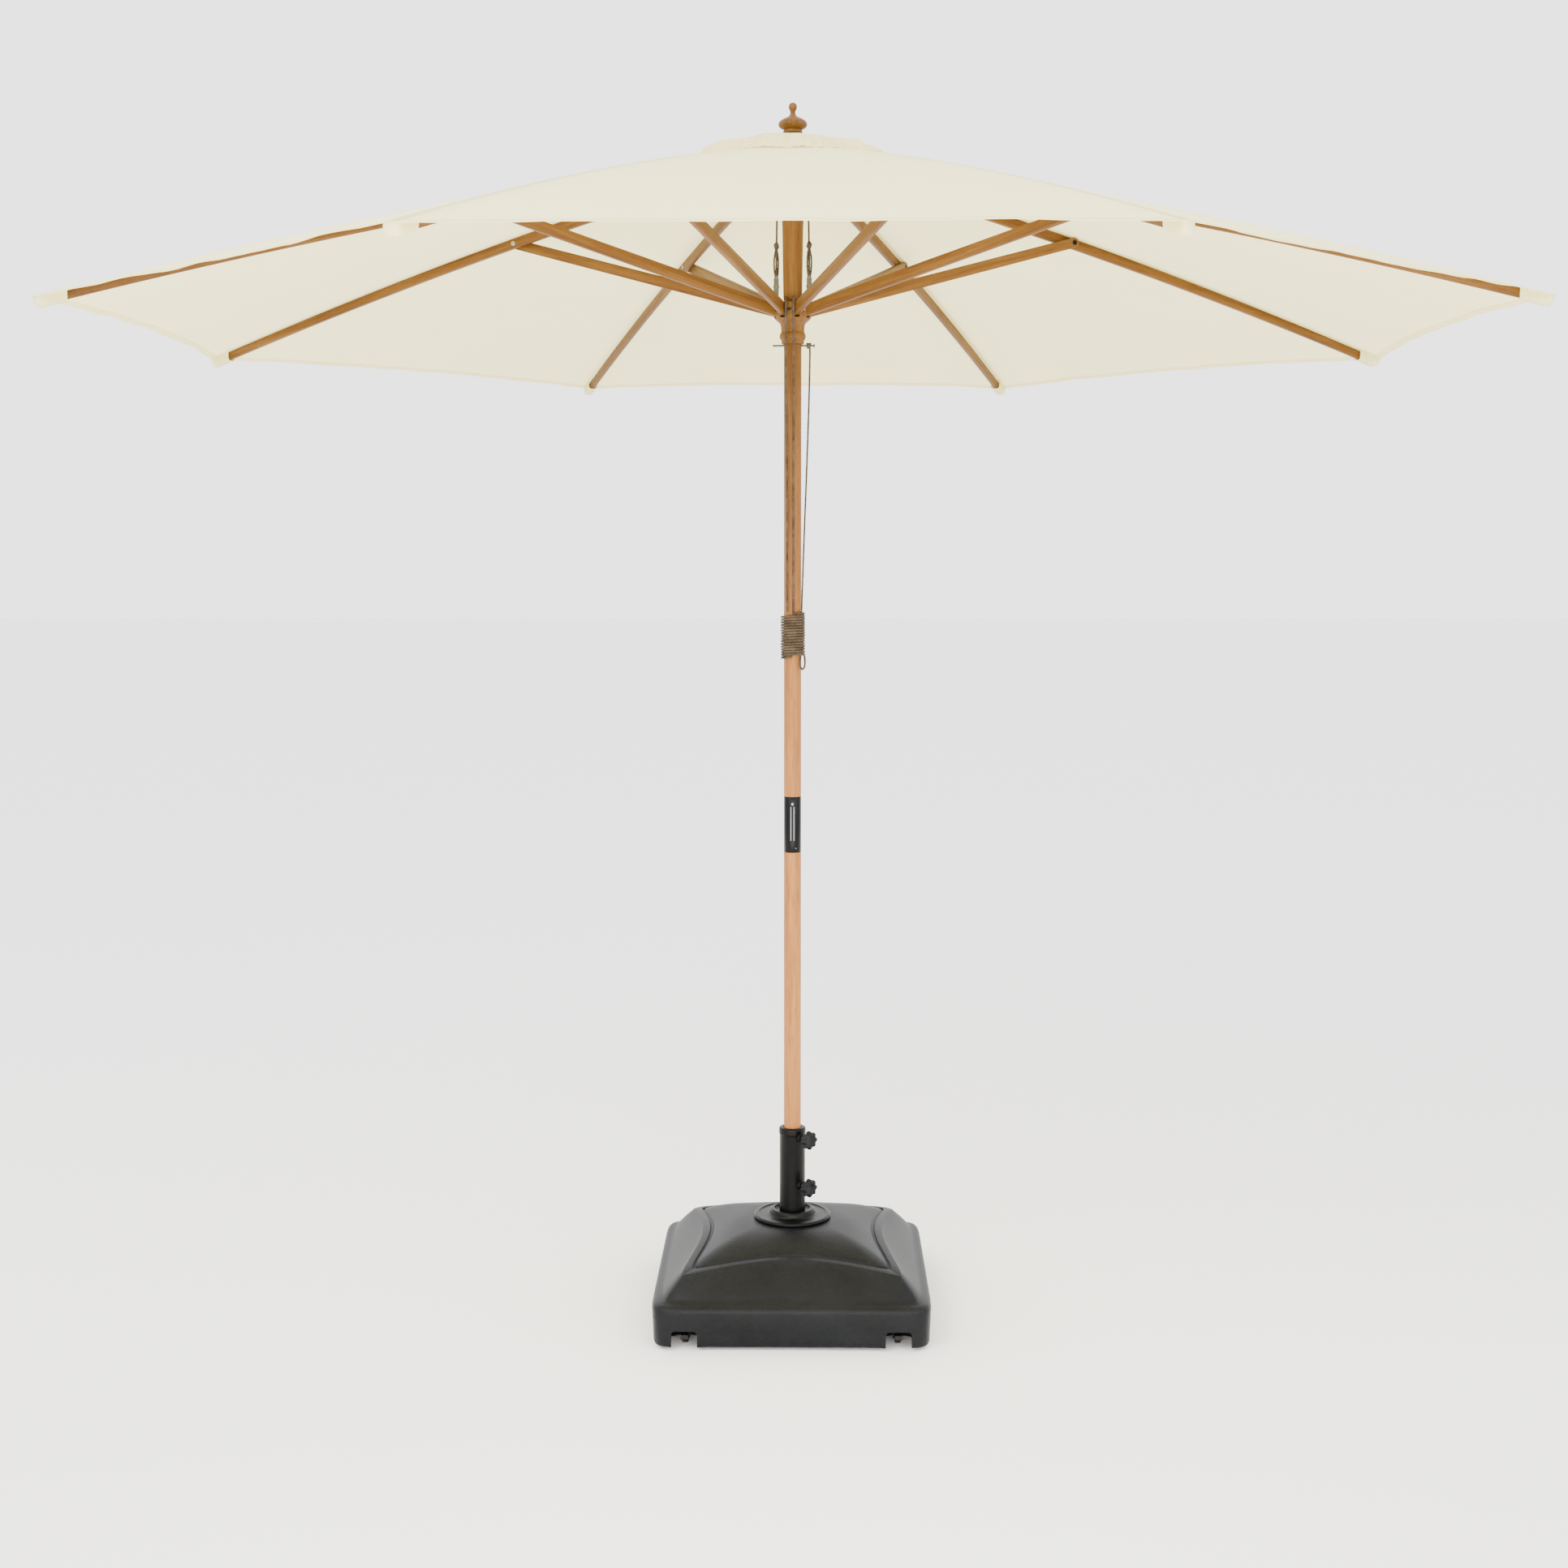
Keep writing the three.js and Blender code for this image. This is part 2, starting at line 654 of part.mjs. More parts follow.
const RUNNER_LOW = 2078;
const RUNNER_RIM = 40;
function buildRunner() {
  const bore = POLE_R + 1.2;
  const body = ringLathe([
    [bore, RUNNER_LOW],
    [23.5, RUNNER_LOW],
    [24, RUNNER_LOW + 8],
    [27.4, RUNNER_LOW + 13],
    [27.4, RUNNER_LOW + 19],
    [24.4, RUNNER_LOW + 25],
    [25.4, RUNNER_LOW + 40],
    [RUNNER_RIM - 6, RUNNER_LOW + 47],
    [RUNNER_RIM, RUNNER_LOW + 54],
    [RUNNER_RIM, RUNNER_LOW + 82],
    [RUNNER_RIM - 2, RUNNER_LOW + 84],
    [bore, RUNNER_LOW + 84],
  ]);
  const inner = RUNNER_PIVOT.r - ROOT_R - 0.6;
  const runner = cut(
    body,
    ...slots(RUNNER_PIVOT.z - 16, RUNNER_LOW + 90, inner, -BAR_SIDE),
    ringGroove(RUNNER_PIVOT.r, RUNNER_PIVOT.z, RUNNER_RIM),
  );
  add("runner", runner, hardwood);
  add("runner_ring", wireRing(RUNNER_PIVOT.r, RUNNER_PIVOT.z), steel);
}

// A swivel block on each side: an eye on the runner, two cheeks and a becket bar on top.
function buildBlocks() {
  const foot = RUNNER_LOW + 84 + GAP;
  const y = -MID_GAP;
  for (const [side, angle] of [["right", 0], ["left", Math.PI]]) {
    const turn = turned(angle);
    const cheek = (y0, y1) => box(BLOCK_X - 4, BLOCK_X + 4, y + y0, y + y1, foot + 19, foot + 56);
    const block = join(
      rod(2, v(BLOCK_X, y, foot), v(BLOCK_X, y, foot + 14), 10),
      rod(3.6, v(BLOCK_X, y, foot + 10), v(BLOCK_X, y, foot + 14), 12),
      box(BLOCK_X - 4, BLOCK_X + 4, y - 3.9, y + 3.9, foot + 13.5, foot + 20),
      cheek(-3.9, -2.9),
      cheek(2.9, 3.9),
      rod(1.6, v(BLOCK_X, y - 3.9, foot + 51), v(BLOCK_X, y + 3.9, foot + 51), 10),
    );
    add(`block_${side}`, block, steel, turn);
    const wheel = sheave(6.5, 3.4);
    add(`block_sheave_${side}`, wheel.translate(BLOCK_X, y, foot + 34), steel, turn);
  }
}

// ---- lock pin and cords ----
function buildLockPin() {
  const pin = join(
    rod(2.2, v(-42, 0, LOCK_PIN_Z), v(45, 0, LOCK_PIN_Z), 12),
    rod(3.4, v(43, 0, LOCK_PIN_Z), v(47, 0, LOCK_PIN_Z), 12),
  );
  add("lock_pin", pin, steel);
}

function buildCords() {
  const rest = RUNNER_LOW + 84 + GAP;
  for (const [side, angle] of [["right", 0], ["left", Math.PI]]) {
    const hoist = [
      v(BLOCK_X, -MID_GAP, rest + 54 + ROPE_R),
      v(BLOCK_X, -MID_GAP, 2245),
      v(33.5, 0, 2310),
      v(32.4, MID_GAP - 0.6, 2372),
      v(32.2, MID_GAP, 2396),
    ];
    add(`hoist_rope_${side}`, tube(hoist, ROPE_R, 14), cordage, turned(angle));
  }
  const falls = { left: -14.2, right: 2.2 };
  for (const [side, x] of Object.entries(falls)) {
    const onPole = -Math.sqrt(POLE_R ** 2 - x ** 2);
    add(`fall_rope_${side}`, tube([
      v(x, onPole - 4, 2192),
      v(x, onPole - 14, 2184),
      v(x, -38, 2176),
      v(x, -45, 2164),
      v(x, -45.5, 2146),
      v(x, -44, 2126),
      v(x, -36, 2100),
      v(x, -31, 2070),
      v(x, -26, 2000),
      v(x * 0.9, -23.5, 1900),
      v(x * 0.8, -22.5, 1760),
      v(x * 0.8, -22.5, 1620),
      v(x * 0.8, -23, WRAP.high + GAP),
    ], ROPE_R, 46), cordage);
  }
  add("pin_cord", tube([
    v(36, 0, LOCK_PIN_Z - 5.5),
    v(36, -0.5, LOCK_PIN_Z - 30),
    v(34, -3, 1950),
    v(29, -8, 1800),
    v(23.5, -12, 1650),
    v(19.2, -14, WRAP.high + GAP),
  ], ROPE_R, 36), cordage);
  add("rope_wrap", ringLathe([
    [WRAP.inner, WRAP.low],
    [WRAP.outer - 1, WRAP.low],
    [WRAP.outer, WRAP.low + 2],
    [WRAP.outer, WRAP.high - 2],
    [WRAP.outer - 1, WRAP.high],
    [WRAP.inner, WRAP.high],
  ], 24), cordage);
}

buildPole();
buildSleeve();
buildHub();
buildSheaves();
buildFinial();
buildCanopy();
buildVent();
ribTurns.forEach((angle, index) => {
  buildRib(index, angle);
  buildStrut(index, angle);
});
buildRunner();
buildBlocks();
buildLockPin();
buildCords();

export default parasol;
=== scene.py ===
import math

import bmesh
import bpy
import numpy as np
from mathutils import Matrix, Vector, noise


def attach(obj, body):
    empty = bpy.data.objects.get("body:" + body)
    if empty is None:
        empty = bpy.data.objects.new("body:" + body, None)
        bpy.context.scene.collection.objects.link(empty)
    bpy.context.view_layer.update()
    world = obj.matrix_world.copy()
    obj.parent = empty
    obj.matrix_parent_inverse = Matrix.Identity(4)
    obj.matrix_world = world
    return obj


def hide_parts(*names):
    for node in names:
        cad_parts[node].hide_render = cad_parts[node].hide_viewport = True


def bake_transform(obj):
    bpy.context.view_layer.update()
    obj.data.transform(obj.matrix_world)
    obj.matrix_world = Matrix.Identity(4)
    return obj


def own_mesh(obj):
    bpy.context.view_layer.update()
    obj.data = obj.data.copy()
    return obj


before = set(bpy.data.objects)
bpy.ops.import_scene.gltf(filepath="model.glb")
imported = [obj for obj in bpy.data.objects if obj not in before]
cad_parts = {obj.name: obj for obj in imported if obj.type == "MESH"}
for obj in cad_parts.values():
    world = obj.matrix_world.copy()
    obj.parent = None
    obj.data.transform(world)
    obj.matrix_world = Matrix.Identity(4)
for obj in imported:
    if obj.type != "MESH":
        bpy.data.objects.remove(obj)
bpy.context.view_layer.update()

MM = 0.001
RIBS = 8
STEP = 2 * math.pi / RIBS
TURNS = [STEP / 2 + k * STEP for k in range(RIBS)]

HUB_PIVOT = (36.0, 2462.0)
RUNNER_PIVOT = (34.0, 2146.0)
ELBOW = (665.0, 2323.0)
RIB_TIP = (1488.0, 2096.0)
RIB_BOW = 20.0
ROOT_R = 12.0
TIP_DEPTH = 18.0
BAR_WIDTH = 12.0
BAR_SIDE = 6.3
CANOPY_EYE = 62.0
CANOPY_R = 1503.0
CANOPY_LIFT = 3.2
SCALLOP = 36.0
CANOPY_SAG = 4.0
POLE_R = 18.5
KNOB_TURN = -0.87
LOCK_PIN_Z = 2074.5
JOINT_Z = 1063.0
BLOCK_X = 34.5
RUNNER_LOW = 2078.0
MID_GAP = BAR_SIDE * math.cos(STEP / 2)
CASTER = (222.0, 247.0)
FILL_CAP_Y = 150.0
KNOB_HEIGHTS = {"upper_knob": 378, "lower_knob": 272}
BUTTON_Z = JOINT_Z + 45
SLEEVE_SLOT = (JOINT_Z - 34, JOINT_Z + 39)
UP = (0, 0, 1)


# ---------------------------------------------------------------- materials
STITCH_LENGTH = 0.0045


def new_material(name):
    material = bpy.data.materials.new(name)
    material.use_nodes = True
    nodes = material.node_tree.nodes
    return material, nodes, material.node_tree.links, nodes["Principled BSDF"]


def add_node(nodes, kind, **values):
    node = nodes.new(kind)
    for key, value in values.items():
        if hasattr(node, key):
            setattr(node, key, value)
        else:
            node.inputs[key].default_value = value
    return node


def ramp(nodes, links, value, stops):
    """The colour that a value picks out between the stops."""
    node = nodes.new("ShaderNodeValToRGB")
    elements = node.color_ramp.elements
    while len(elements) < len(stops):
        elements.new(0.5)
    for element, (at, colour) in zip(elements, stops):
        element.position = at
        element.color = (*colour, 1.0)
    links.new(value, node.inputs["Fac"])
    return node.outputs["Color"]


def attribute(nodes, name):
    node = nodes.new("ShaderNodeAttribute")
    node.attribute_name = name
    return node


def scaled(nodes, links, source, scale):
    node = nodes.new("ShaderNodeMapping")
    node.inputs["Scale"].default_value = scale
    links.new(source, node.inputs["Vector"])
    return node.outputs["Vector"]


def texture(nodes, links, at, scale, kind="ShaderNodeTexNoise", **values):
    """A texture read at the given coordinates; a scale in three parts stretches it."""
    if isinstance(scale, tuple):
        at, scale = scaled(nodes, links, at, scale), 1.0
    node = add_node(nodes, kind, Scale=scale, **values)
    links.new(at, node.inputs["Vector"])
    return node.outputs[0]


def sheen(shader, roughness, shine):
    shader.inputs["Roughness"].default_value = roughness
    shader.inputs["Specular IOR Level"].default_value = shine


def connect(links, socket, value):
    """Links a socket to another one, or gives it a number or a colour."""
    if isinstance(value, bpy.types.NodeSocket):
        links.new(value, socket)
    else:
        socket.default_value = value


def mixed(nodes, links, amount, first, second, blend="MIX"):
    node = nodes.new("ShaderNodeMix")
    node.data_type = "RGBA"
    node.blend_type = blend
    for index, value in ((0, amount), (6, first), (7, second)):
        connect(links, node.inputs[index], value)
    return node.outputs[2]


def maths(nodes, links, operation, *values):
    node = add_node(nodes, "ShaderNodeMath", operation=operation)
    for socket, value in zip(node.inputs, values):
        connect(links, socket, value)
    return node.outputs[0]


def bump(nodes, links, height, strength, distance, shader, before=None):
    node = nodes.new("ShaderNodeBump")
    node.inputs["Strength"].default_value = strength
    node.inputs["Distance"].default_value = distance
    links.new(height, node.inputs["Height"])
    if before is not None:
        links.new(before, node.inputs["Normal"])
    links.new(node.outputs["Normal"], shader.inputs["Normal"])
    return node.outputs["Normal"]


def wood(name, dark, middle, light, roughness, canopy_shade_above=None):
    """Varnished wood whose grain runs along the X of each piece's own 'grain' coordinates. Given a height,
    it darkens from there upwards with painted shade, for the canopy's shadow on the pole.
    """
    material, nodes, links, shader = new_material(name)
    grain = attribute(nodes, "grain").outputs["Vector"]
    broad = texture(nodes, links, grain, (3.2, 62, 62), Detail=6.0, Roughness=0.62, Distortion=0.5)
    fibre = texture(nodes, links, grain, (26, 620, 620), Detail=3.0, Roughness=0.6)
    bands = ramp(nodes, links, broad, [(0.3, dark), (0.5, middle), (0.72, light)])
    pores = ramp(nodes, links, fibre, [(0.36, (0.62, 0.52, 0.44)), (0.5, (1, 1, 1)), (1.0, (1, 1, 1))])
    colour = mixed(nodes, links, 0.55, bands, pores, "MULTIPLY")
    # painted shade: above the given height the colour darkens step by step up the pole, for the shadow under
    # the canopy
    if canopy_shade_above is not None:
        spot = nodes.new("ShaderNodeSeparateXYZ")
        links.new(nodes.new("ShaderNodeTexCoord").outputs["Object"], spot.inputs["Vector"])
        height = nodes.new("ShaderNodeMapRange")
        height.inputs["From Min"].default_value = canopy_shade_above
        height.inputs["From Max"].default_value = canopy_shade_above + 0.95
        links.new(spot.outputs["Z"], height.inputs["Value"])
        colour = mixed(nodes, links, height.outputs["Result"], colour, (0.41, 0.41, 0.33, 1), "MULTIPLY")
    links.new(colour, shader.inputs["Base Color"])
    sheen(shader, roughness, 0.14)
    bump(nodes, links, fibre, 0.35, 0.0004, shader)
    return material


def plastic(name):
    material, nodes, links, shader = new_material(name)
    spot = nodes.new("ShaderNodeTexCoord").outputs["Object"]
    cells = texture(nodes, links, spot, 330.0, "ShaderNodeTexVoronoi", feature="F1")
    worn = texture(nodes, links, spot, 9.0, Detail=5.0)
    tone = ramp(nodes, links, worn, [(0.3, (0.0025, 0.0029, 0.0037)), (0.75, (0.0054, 0.0060, 0.0073))])
    links.new(tone, shader.inputs["Base Color"])
    sheen(shader, 0.42, 0.12)
    bump(nodes, links, cells, 0.55, 0.0007, shader)
    return material


def metal(name, colour, roughness, brushed=(40, 40, 900)):
    material, nodes, links, shader = new_material(name)
    spot = nodes.new("ShaderNodeTexCoord").outputs["Object"]
    lines = texture(nodes, links, spot, brushed, Detail=3.0)
    rough = add_node(nodes, "ShaderNodeMapRange")
    rough.inputs["To Min"].default_value = roughness * 0.75
    rough.inputs["To Max"].default_value = roughness * 1.3
    links.new(lines, rough.inputs["Value"])
    links.new(rough.outputs["Result"], shader.inputs["Roughness"])
    shader.inputs["Base Color"].default_value = (*colour, 1)
    shader.inputs["Metallic"].default_value = 1.0
    bump(nodes, links, lines, 0.05, 0.0001, shader)
    return material


def coated(name, colour, roughness, shine=0.5):
    material, nodes, links, shader = new_material(name)
    peel = texture(nodes, links, nodes.new("ShaderNodeTexCoord").outputs["Object"], 700.0, Detail=2.0)
    shader.inputs["Base Color"].default_value = (*colour, 1)
    sheen(shader, roughness, shine)
    bump(nodes, links, peel, 0.18, 0.0004, shader)
    return material


def canvas(name, colour, see_through):
    """Woven cloth. Its 'cloth' coordinates are metres across and along; 'edges' holds the distance
    from the hem and from the seam."""
    material, nodes, links, shader = new_material(name)
    cloth = attribute(nodes, "cloth").outputs["Vector"]
    weave = [texture(nodes, links, cloth, scale, Detail=2.0) for scale in ((2600, 150, 1), (150, 2600, 1))]
    crossing = maths(nodes, links, "ADD", *weave)
    soft = texture(nodes, links, cloth, 5.0, Detail=6.0, Roughness=0.55)
    shade = tuple(c * 0.965 for c in colour)
    tone = ramp(nodes, links, soft, [(0.35, shade), (0.65, colour)])
    edges = nodes.new("ShaderNodeSeparateXYZ")
    links.new(attribute(nodes, "edges").outputs["Vector"], edges.inputs["Vector"])

    def stitch(distance, along, at):
        """1 on the stitches of a row that runs at a distance from an edge."""
        near = maths(nodes, links, "COMPARE", maths(nodes, links, "SUBTRACT", distance, at), 0.0, 0.0007)
        turns = maths(nodes, links, "MULTIPLY", along, 2 * math.pi / STITCH_LENGTH)
        wave = maths(nodes, links, "SINE", turns)
        return maths(nodes, links, "MULTIPLY", near, maths(nodes, links, "GREATER_THAN", wave, -0.45))

    spot = nodes.new("ShaderNodeSeparateXYZ")
    links.new(cloth, spot.inputs["Vector"])
    stitches = maths(nodes, links, "MAXIMUM", stitch(edges.outputs["X"], spot.outputs["X"], 0.0145),
                     stitch(edges.outputs["Y"], spot.outputs["Y"], 0.0045))
    thread = (*[c * 0.8 for c in colour], 1)
    links.new(mixed(nodes, links, stitches, tone, thread), shader.inputs["Base Color"])
    sheen(shader, 0.88, 0.2)
    first = bump(nodes, links, crossing, 0.12, 0.0003, shader)
    bump(nodes, links, stitches, 0.5, 0.0006, shader, first)
    glow = nodes.new("ShaderNodeBsdfTranslucent")
    glow.inputs["Color"].default_value = (*[min(1, c * 1.03) for c in colour], 1)
    mix = nodes.new("ShaderNodeMixShader")
    mix.inputs[0].default_value = see_through
    links.new(shader.outputs[0], mix.inputs[1])
    links.new(glow.outputs[0], mix.inputs[2])
    links.new(mix.outputs[0], nodes["Material Output"].inputs["Surface"])
    return material


def cordage(name):
    material, nodes, links, shader = new_material(name)
    spot = nodes.new("ShaderNodeTexCoord").outputs["Object"]
    fuzz = texture(nodes, links, spot, 1500.0, Detail=3.0)
    patch = texture(nodes, links, spot, 60.0, Detail=3.0)
    tone = ramp(nodes, links, patch, [(0.3, (0.034, 0.0235, 0.0155)), (0.7, (0.088, 0.063, 0.043))])
    links.new(tone, shader.inputs["Base Color"])
    sheen(shader, 0.9, 0.1)
    bump(nodes, links, fuzz, 0.4, 0.0004, shader)
    return material


# the pole wood's last number, 1.1, is the height in metres above which painted canopy shade darkens it
POLE_WOOD = wood("pole_wood", (0.225, 0.086, 0.020), (0.30, 0.122, 0.031), (0.37, 0.164, 0.046), 0.42, 1.1)
HARDWOOD = wood("hardwood", (0.080, 0.031, 0.0052), (0.122, 0.052, 0.0095), (0.170, 0.078, 0.017), 0.45)
PLASTIC = plastic("black_plastic")
BLACK = coated("black_coat", (0.002, 0.002, 0.0022), 0.34, 0.1)
STEEL = metal("steel", (0.30, 0.30, 0.31), 0.28)
CHROME = metal("bright_steel", (0.085, 0.085, 0.092), 0.2)
DARK_STEEL = metal("sleeve_steel", (0.012, 0.012, 0.0125), 0.36, (40, 40, 30))
BRIGHT = metal("bright_edge", (0.12, 0.12, 0.125), 0.25)
CANVAS = canvas("cream_canvas", (0.93, 0.85, 0.46), 0.3)
ROPE = cordage("taupe_cord")
RUBBER = coated("wheel", (0.003, 0.003, 0.003), 0.4, 0.25)


def place(piece, body=None, node=None):
    """Says what a piece rides with and which CAD node it stands for."""
    if body:
        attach(piece, body)
    if node:
        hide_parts(node)


# ---------------------------------------------------------------- mesh helpers
def into_scene(name, data):
    item = bpy.data.objects.new(name, data)
    bpy.context.scene.collection.objects.link(item)
    return item


def smoothed(mesh, sharp=None):
    """Shades a mesh smooth, but for the edges sharper than an angle in degrees."""
    mesh.polygons.foreach_set("use_smooth", [True] * len(mesh.polygons))
    if sharp is not None:
        mesh.set_sharp_from_angle(angle=math.radians(sharp))


def make(name, verts, faces, material, sharp=None):
    """A mesh object from points in millimetres."""
    mesh = bpy.data.meshes.new(name)
    points = np.asarray(verts, dtype=float) * MM
    mesh.from_pydata(points.tolist(), [], [tuple(f) for f in faces])
    mesh.update()
    mesh.materials.append(material)
    smoothed(mesh, sharp)
    return into_scene(name, mesh)


def set_vectors(piece, name, vectors):
    layer = piece.data.attributes.new(name, "FLOAT_VECTOR", "POINT")
    layer.data.foreach_set("vector", np.asarray(vectors, dtype=np.float32).ravel())


def points_of(piece):
    flat = np.empty(len(piece.data.vertices) * 3)
    piece.data.vertices.foreach_get("co", flat)
    return flat.reshape(-1, 3)


def grain_along(piece, along, origin=(0, 0, 0), seed=0.0):
    """Stores wood grain coordinates, in metres, with X along the given direction."""
    x = Vector(along).normalized()
    y = x.orthogonal().normalized()
    z = x.cross(y)
    basis = np.array([x, y, z])
    local = (points_of(piece) - np.asarray(origin)) @ basis.T
    local[:, 0] += 3.7 * seed
    local[:, 1] += 0.9 * seed
    set_vectors(piece, "grain", local)


def grid(rows, wide, closed=True, inward=False):
    """The quads between rows + 1 lines of points, each line wide points long."""
    faces = []
    for i in range(rows):
        low, high = i * wide, (i + 1) * wide
        for j in range(wide if closed else wide - 1):
            k = (j + 1) % wide
            if inward:
                faces.append((low + j, high + j, high + k, low + k))
            else:
                faces.append((low + j, low + k, high + k, high + j))
    return faces


def ring_about(centre, side, other, radius_at, sides):
    """Points round a centre, at the radius that radius_at gives for each angle."""
    ring = []
    for i in range(sides):
        a = 2 * math.pi * i / sides
        ring.append(tuple(centre + radius_at(a) * (math.cos(a) * side + math.sin(a) * other)))
    return ring


def lathe_mesh(outline, segments, closed=False):
    """A turned shape from (radius, height) points; a closed outline joins its last point to its first."""
    verts, faces = [], []
    rows = []
    for r, z in outline:
        if r < 1e-6:
            rows.append([len(verts)])
            verts.append((0, 0, z))
            continue
        rows.append(list(range(len(verts), len(verts) + segments)))
        for i in range(segments):
            a = 2 * math.pi * i / segments
            verts.append((r * math.cos(a), r * math.sin(a), z))
    pairs = list(zip(rows, rows[1:]))
    if closed:
        pairs.append((rows[-1], rows[0]))
    for low, high in pairs:
        for i in range(segments):
            j = (i + 1) % segments
            if len(low) == 1 and len(high) == 1:
                continue
            if len(low) == 1:
                faces.append((low[0], high[j], high[i]))
            elif len(high) == 1:
                faces.append((low[i], low[j], high[0]))
            else:
                faces.append((low[i], low[j], high[j], high[i]))
    return verts, faces


def spline(p0, p1, p2, p3, t):
    """The point a share t of the way from p1 to p2, on a smooth curve through all four."""
    return 0.5 * (2 * p1 + (p2 - p0) * t + (2 * p0 - 5 * p1 + 4 * p2 - p3) * t * t
                  + (3 * p1 - p0 - 3 * p2 + p3) * t ** 3)


def arc(centre, wide, high, start, sweep, steps):
    """Points along an arc of an ellipse, from its start angle through the angle that it sweeps."""
    angles = [start + sweep * i / steps for i in range(steps + 1)]
    return [(centre[0] + wide * math.cos(a), centre[1] + high * math.sin(a)) for a in angles]


def smooth_outline(outline, steps=5):
    """Rounds an outline's corners with a spline; a point given as (r, z, 1) stays a sharp corner."""
    runs, run = [], []
    for p in outline:
        run.append(np.array(p[:2], dtype=float))
        if len(p) > 2:
            runs.append(run)
            run = [run[-1]]
    runs.append(run)
    out = []
    for run in runs:
        if len(run) < 3:
            out += run[(1 if out else 0):]
            continue
        ext = [2 * run[0] - run[1], *run, 2 * run[-1] - run[-2]]
        for i in range(1, len(ext) - 2):
            for k in range(steps):
                if not (out and i == 1 and k == 0):
                    out.append(spline(*ext[i - 1:i + 3], k / steps))
        out.append(run[-1])
    return [(max(0.0, float(r)), float(z)) for r, z in out]


def turned(name, outline, material, body, node=None, segments=72, closed=False, sharp=40, cutters=()):
    verts, faces = lathe_mesh(outline, segments, closed)
    piece = make(name, verts, faces, material, sharp)
    if cutters:
        carve(piece, cutters, sharp)
    place(piece, body, node)
    return piece


def shifted(piece, y=0.0, z=0.0):
    """Moves a piece's mesh, by millimetres."""
    for vert in piece.data.vertices:
        vert.co.y += y * MM
        vert.co.z += z * MM


def box_mesh(x0, x1, y0, y1, z0, z1):
    verts = [(x, y, z) for z in (z0, z1) for x, y in ((x0, y0), (x1, y0), (x1, y1), (x0, y1))]
    return verts, [(3, 2, 1, 0), (4, 5, 6, 7)] + grid(1, 4)


def spun(verts, angle):
    c, s = math.cos(angle), math.sin(angle)
    return [(x * c - y * s, x * s + y * c, z) for x, y, z in verts]


def cutter(verts, faces):
    tool = make("cutter", verts, faces, HARDWOOD)
    work = bmesh.new()
    work.from_mesh(tool.data)
    bmesh.ops.recalc_face_normals(work, faces=work.faces)
    work.to_mesh(tool.data)
    work.free()
    return tool


def carve(piece, cutters, sharp):
    """Takes the cutters out of the piece, and removes them."""
    for tool in cutters:
        change = piece.modifiers.new("cut", "BOOLEAN")
        change.operation = "DIFFERENCE"
        change.solver = "EXACT"
        change.object = tool
    bpy.context.view_layer.update()
    graph = bpy.context.evaluated_depsgraph_get()
    mesh = bpy.data.meshes.new_from_object(piece.evaluated_get(graph))
    material = piece.data.materials[0]
    piece.modifiers.clear()
    piece.data = mesh
    mesh.materials.clear()
    mesh.materials.append(material)
    mesh.polygons.foreach_set("material_index", [0] * len(mesh.polygons))
    smoothed(mesh, sharp)
    for tool in cutters:
        bpy.data.objects.remove(tool)


def rod_mesh(radius, start, end, sides=20):
    start, end = Vector(start), Vector(end)
    along = (end - start).normalized()
    side = along.orthogonal().normalized()
    other = along.cross(side)
    verts = []
    for centre in (start, end):
        verts += ring_about(centre, side, other, lambda a: radius, sides)
    faces = grid(1, sides)
    faces.append(tuple(range(sides - 1, -1, -1)))
    faces.append(tuple(range(sides, 2 * sides)))
    return verts, faces


def joined(parts):
    """One mesh from several (verts, faces)."""
    verts, faces = [], []
    for part_verts, part_faces in parts:
        start = len(verts)
        verts += [tuple(p) for p in part_verts]
        faces += [tuple(i + start for i in face) for face in part_faces]
    return verts, faces


def bevelled(piece, width, segments=2, limit=35):
    """Rounds a piece's sharp edges by width, in millimetres."""
    work = bmesh.new()
    work.from_mesh(piece.data)
    bmesh.ops.recalc_face_normals(work, faces=work.faces)
    edges = [e for e in work.edges
             if len(e.link_faces) == 2 and e.calc_face_angle(0) > math.radians(limit)]
    bmesh.ops.bevel(work, geom=edges, offset=width * MM, segments=segments, profile=0.5,
                    affect="EDGES", clamp_overlap=True)
    work.to_mesh(piece.data)
    work.free()
    smoothed(piece.data, 50)


def prism(outline, t0, t1):
    """A side view of (radius, height) points, stood on edge between t0 and t1 across the bar."""
    n = len(outline)
    verts = [(r, t0, z) for r, z in outline] + [(r, t1, z) for r, z in outline]
    faces = [tuple(range(n)), tuple(range(2 * n - 1, n - 1, -1))]
    faces += [(i + n, (i + 1) % n + n, (i + 1) % n, i) for i in range(n)]
    return verts, faces


# ---------------------------------------------------------------- base
SQUARENESS = 16


def super_radius(half, a):
    c, s = abs(math.cos(a)), abs(math.sin(a))
    return half / (c ** SQUARENESS + s ** SQUARENESS) ** (1 / SQUARENESS)


def cornerness(a):
    c, s = abs(math.cos(a)), abs(math.sin(a))
    return min(c, s) / max(c, s)


def pincushion(middle, corner, a):
    c, s = abs(math.cos(a)), abs(math.sin(a))
    k = cornerness(a)
    straight = (middle + (corner - middle) * k ** 2) / max(c, s)
    cap = corner * 1.365
    return (straight ** -24 + cap ** -24) ** (-1 / 24)


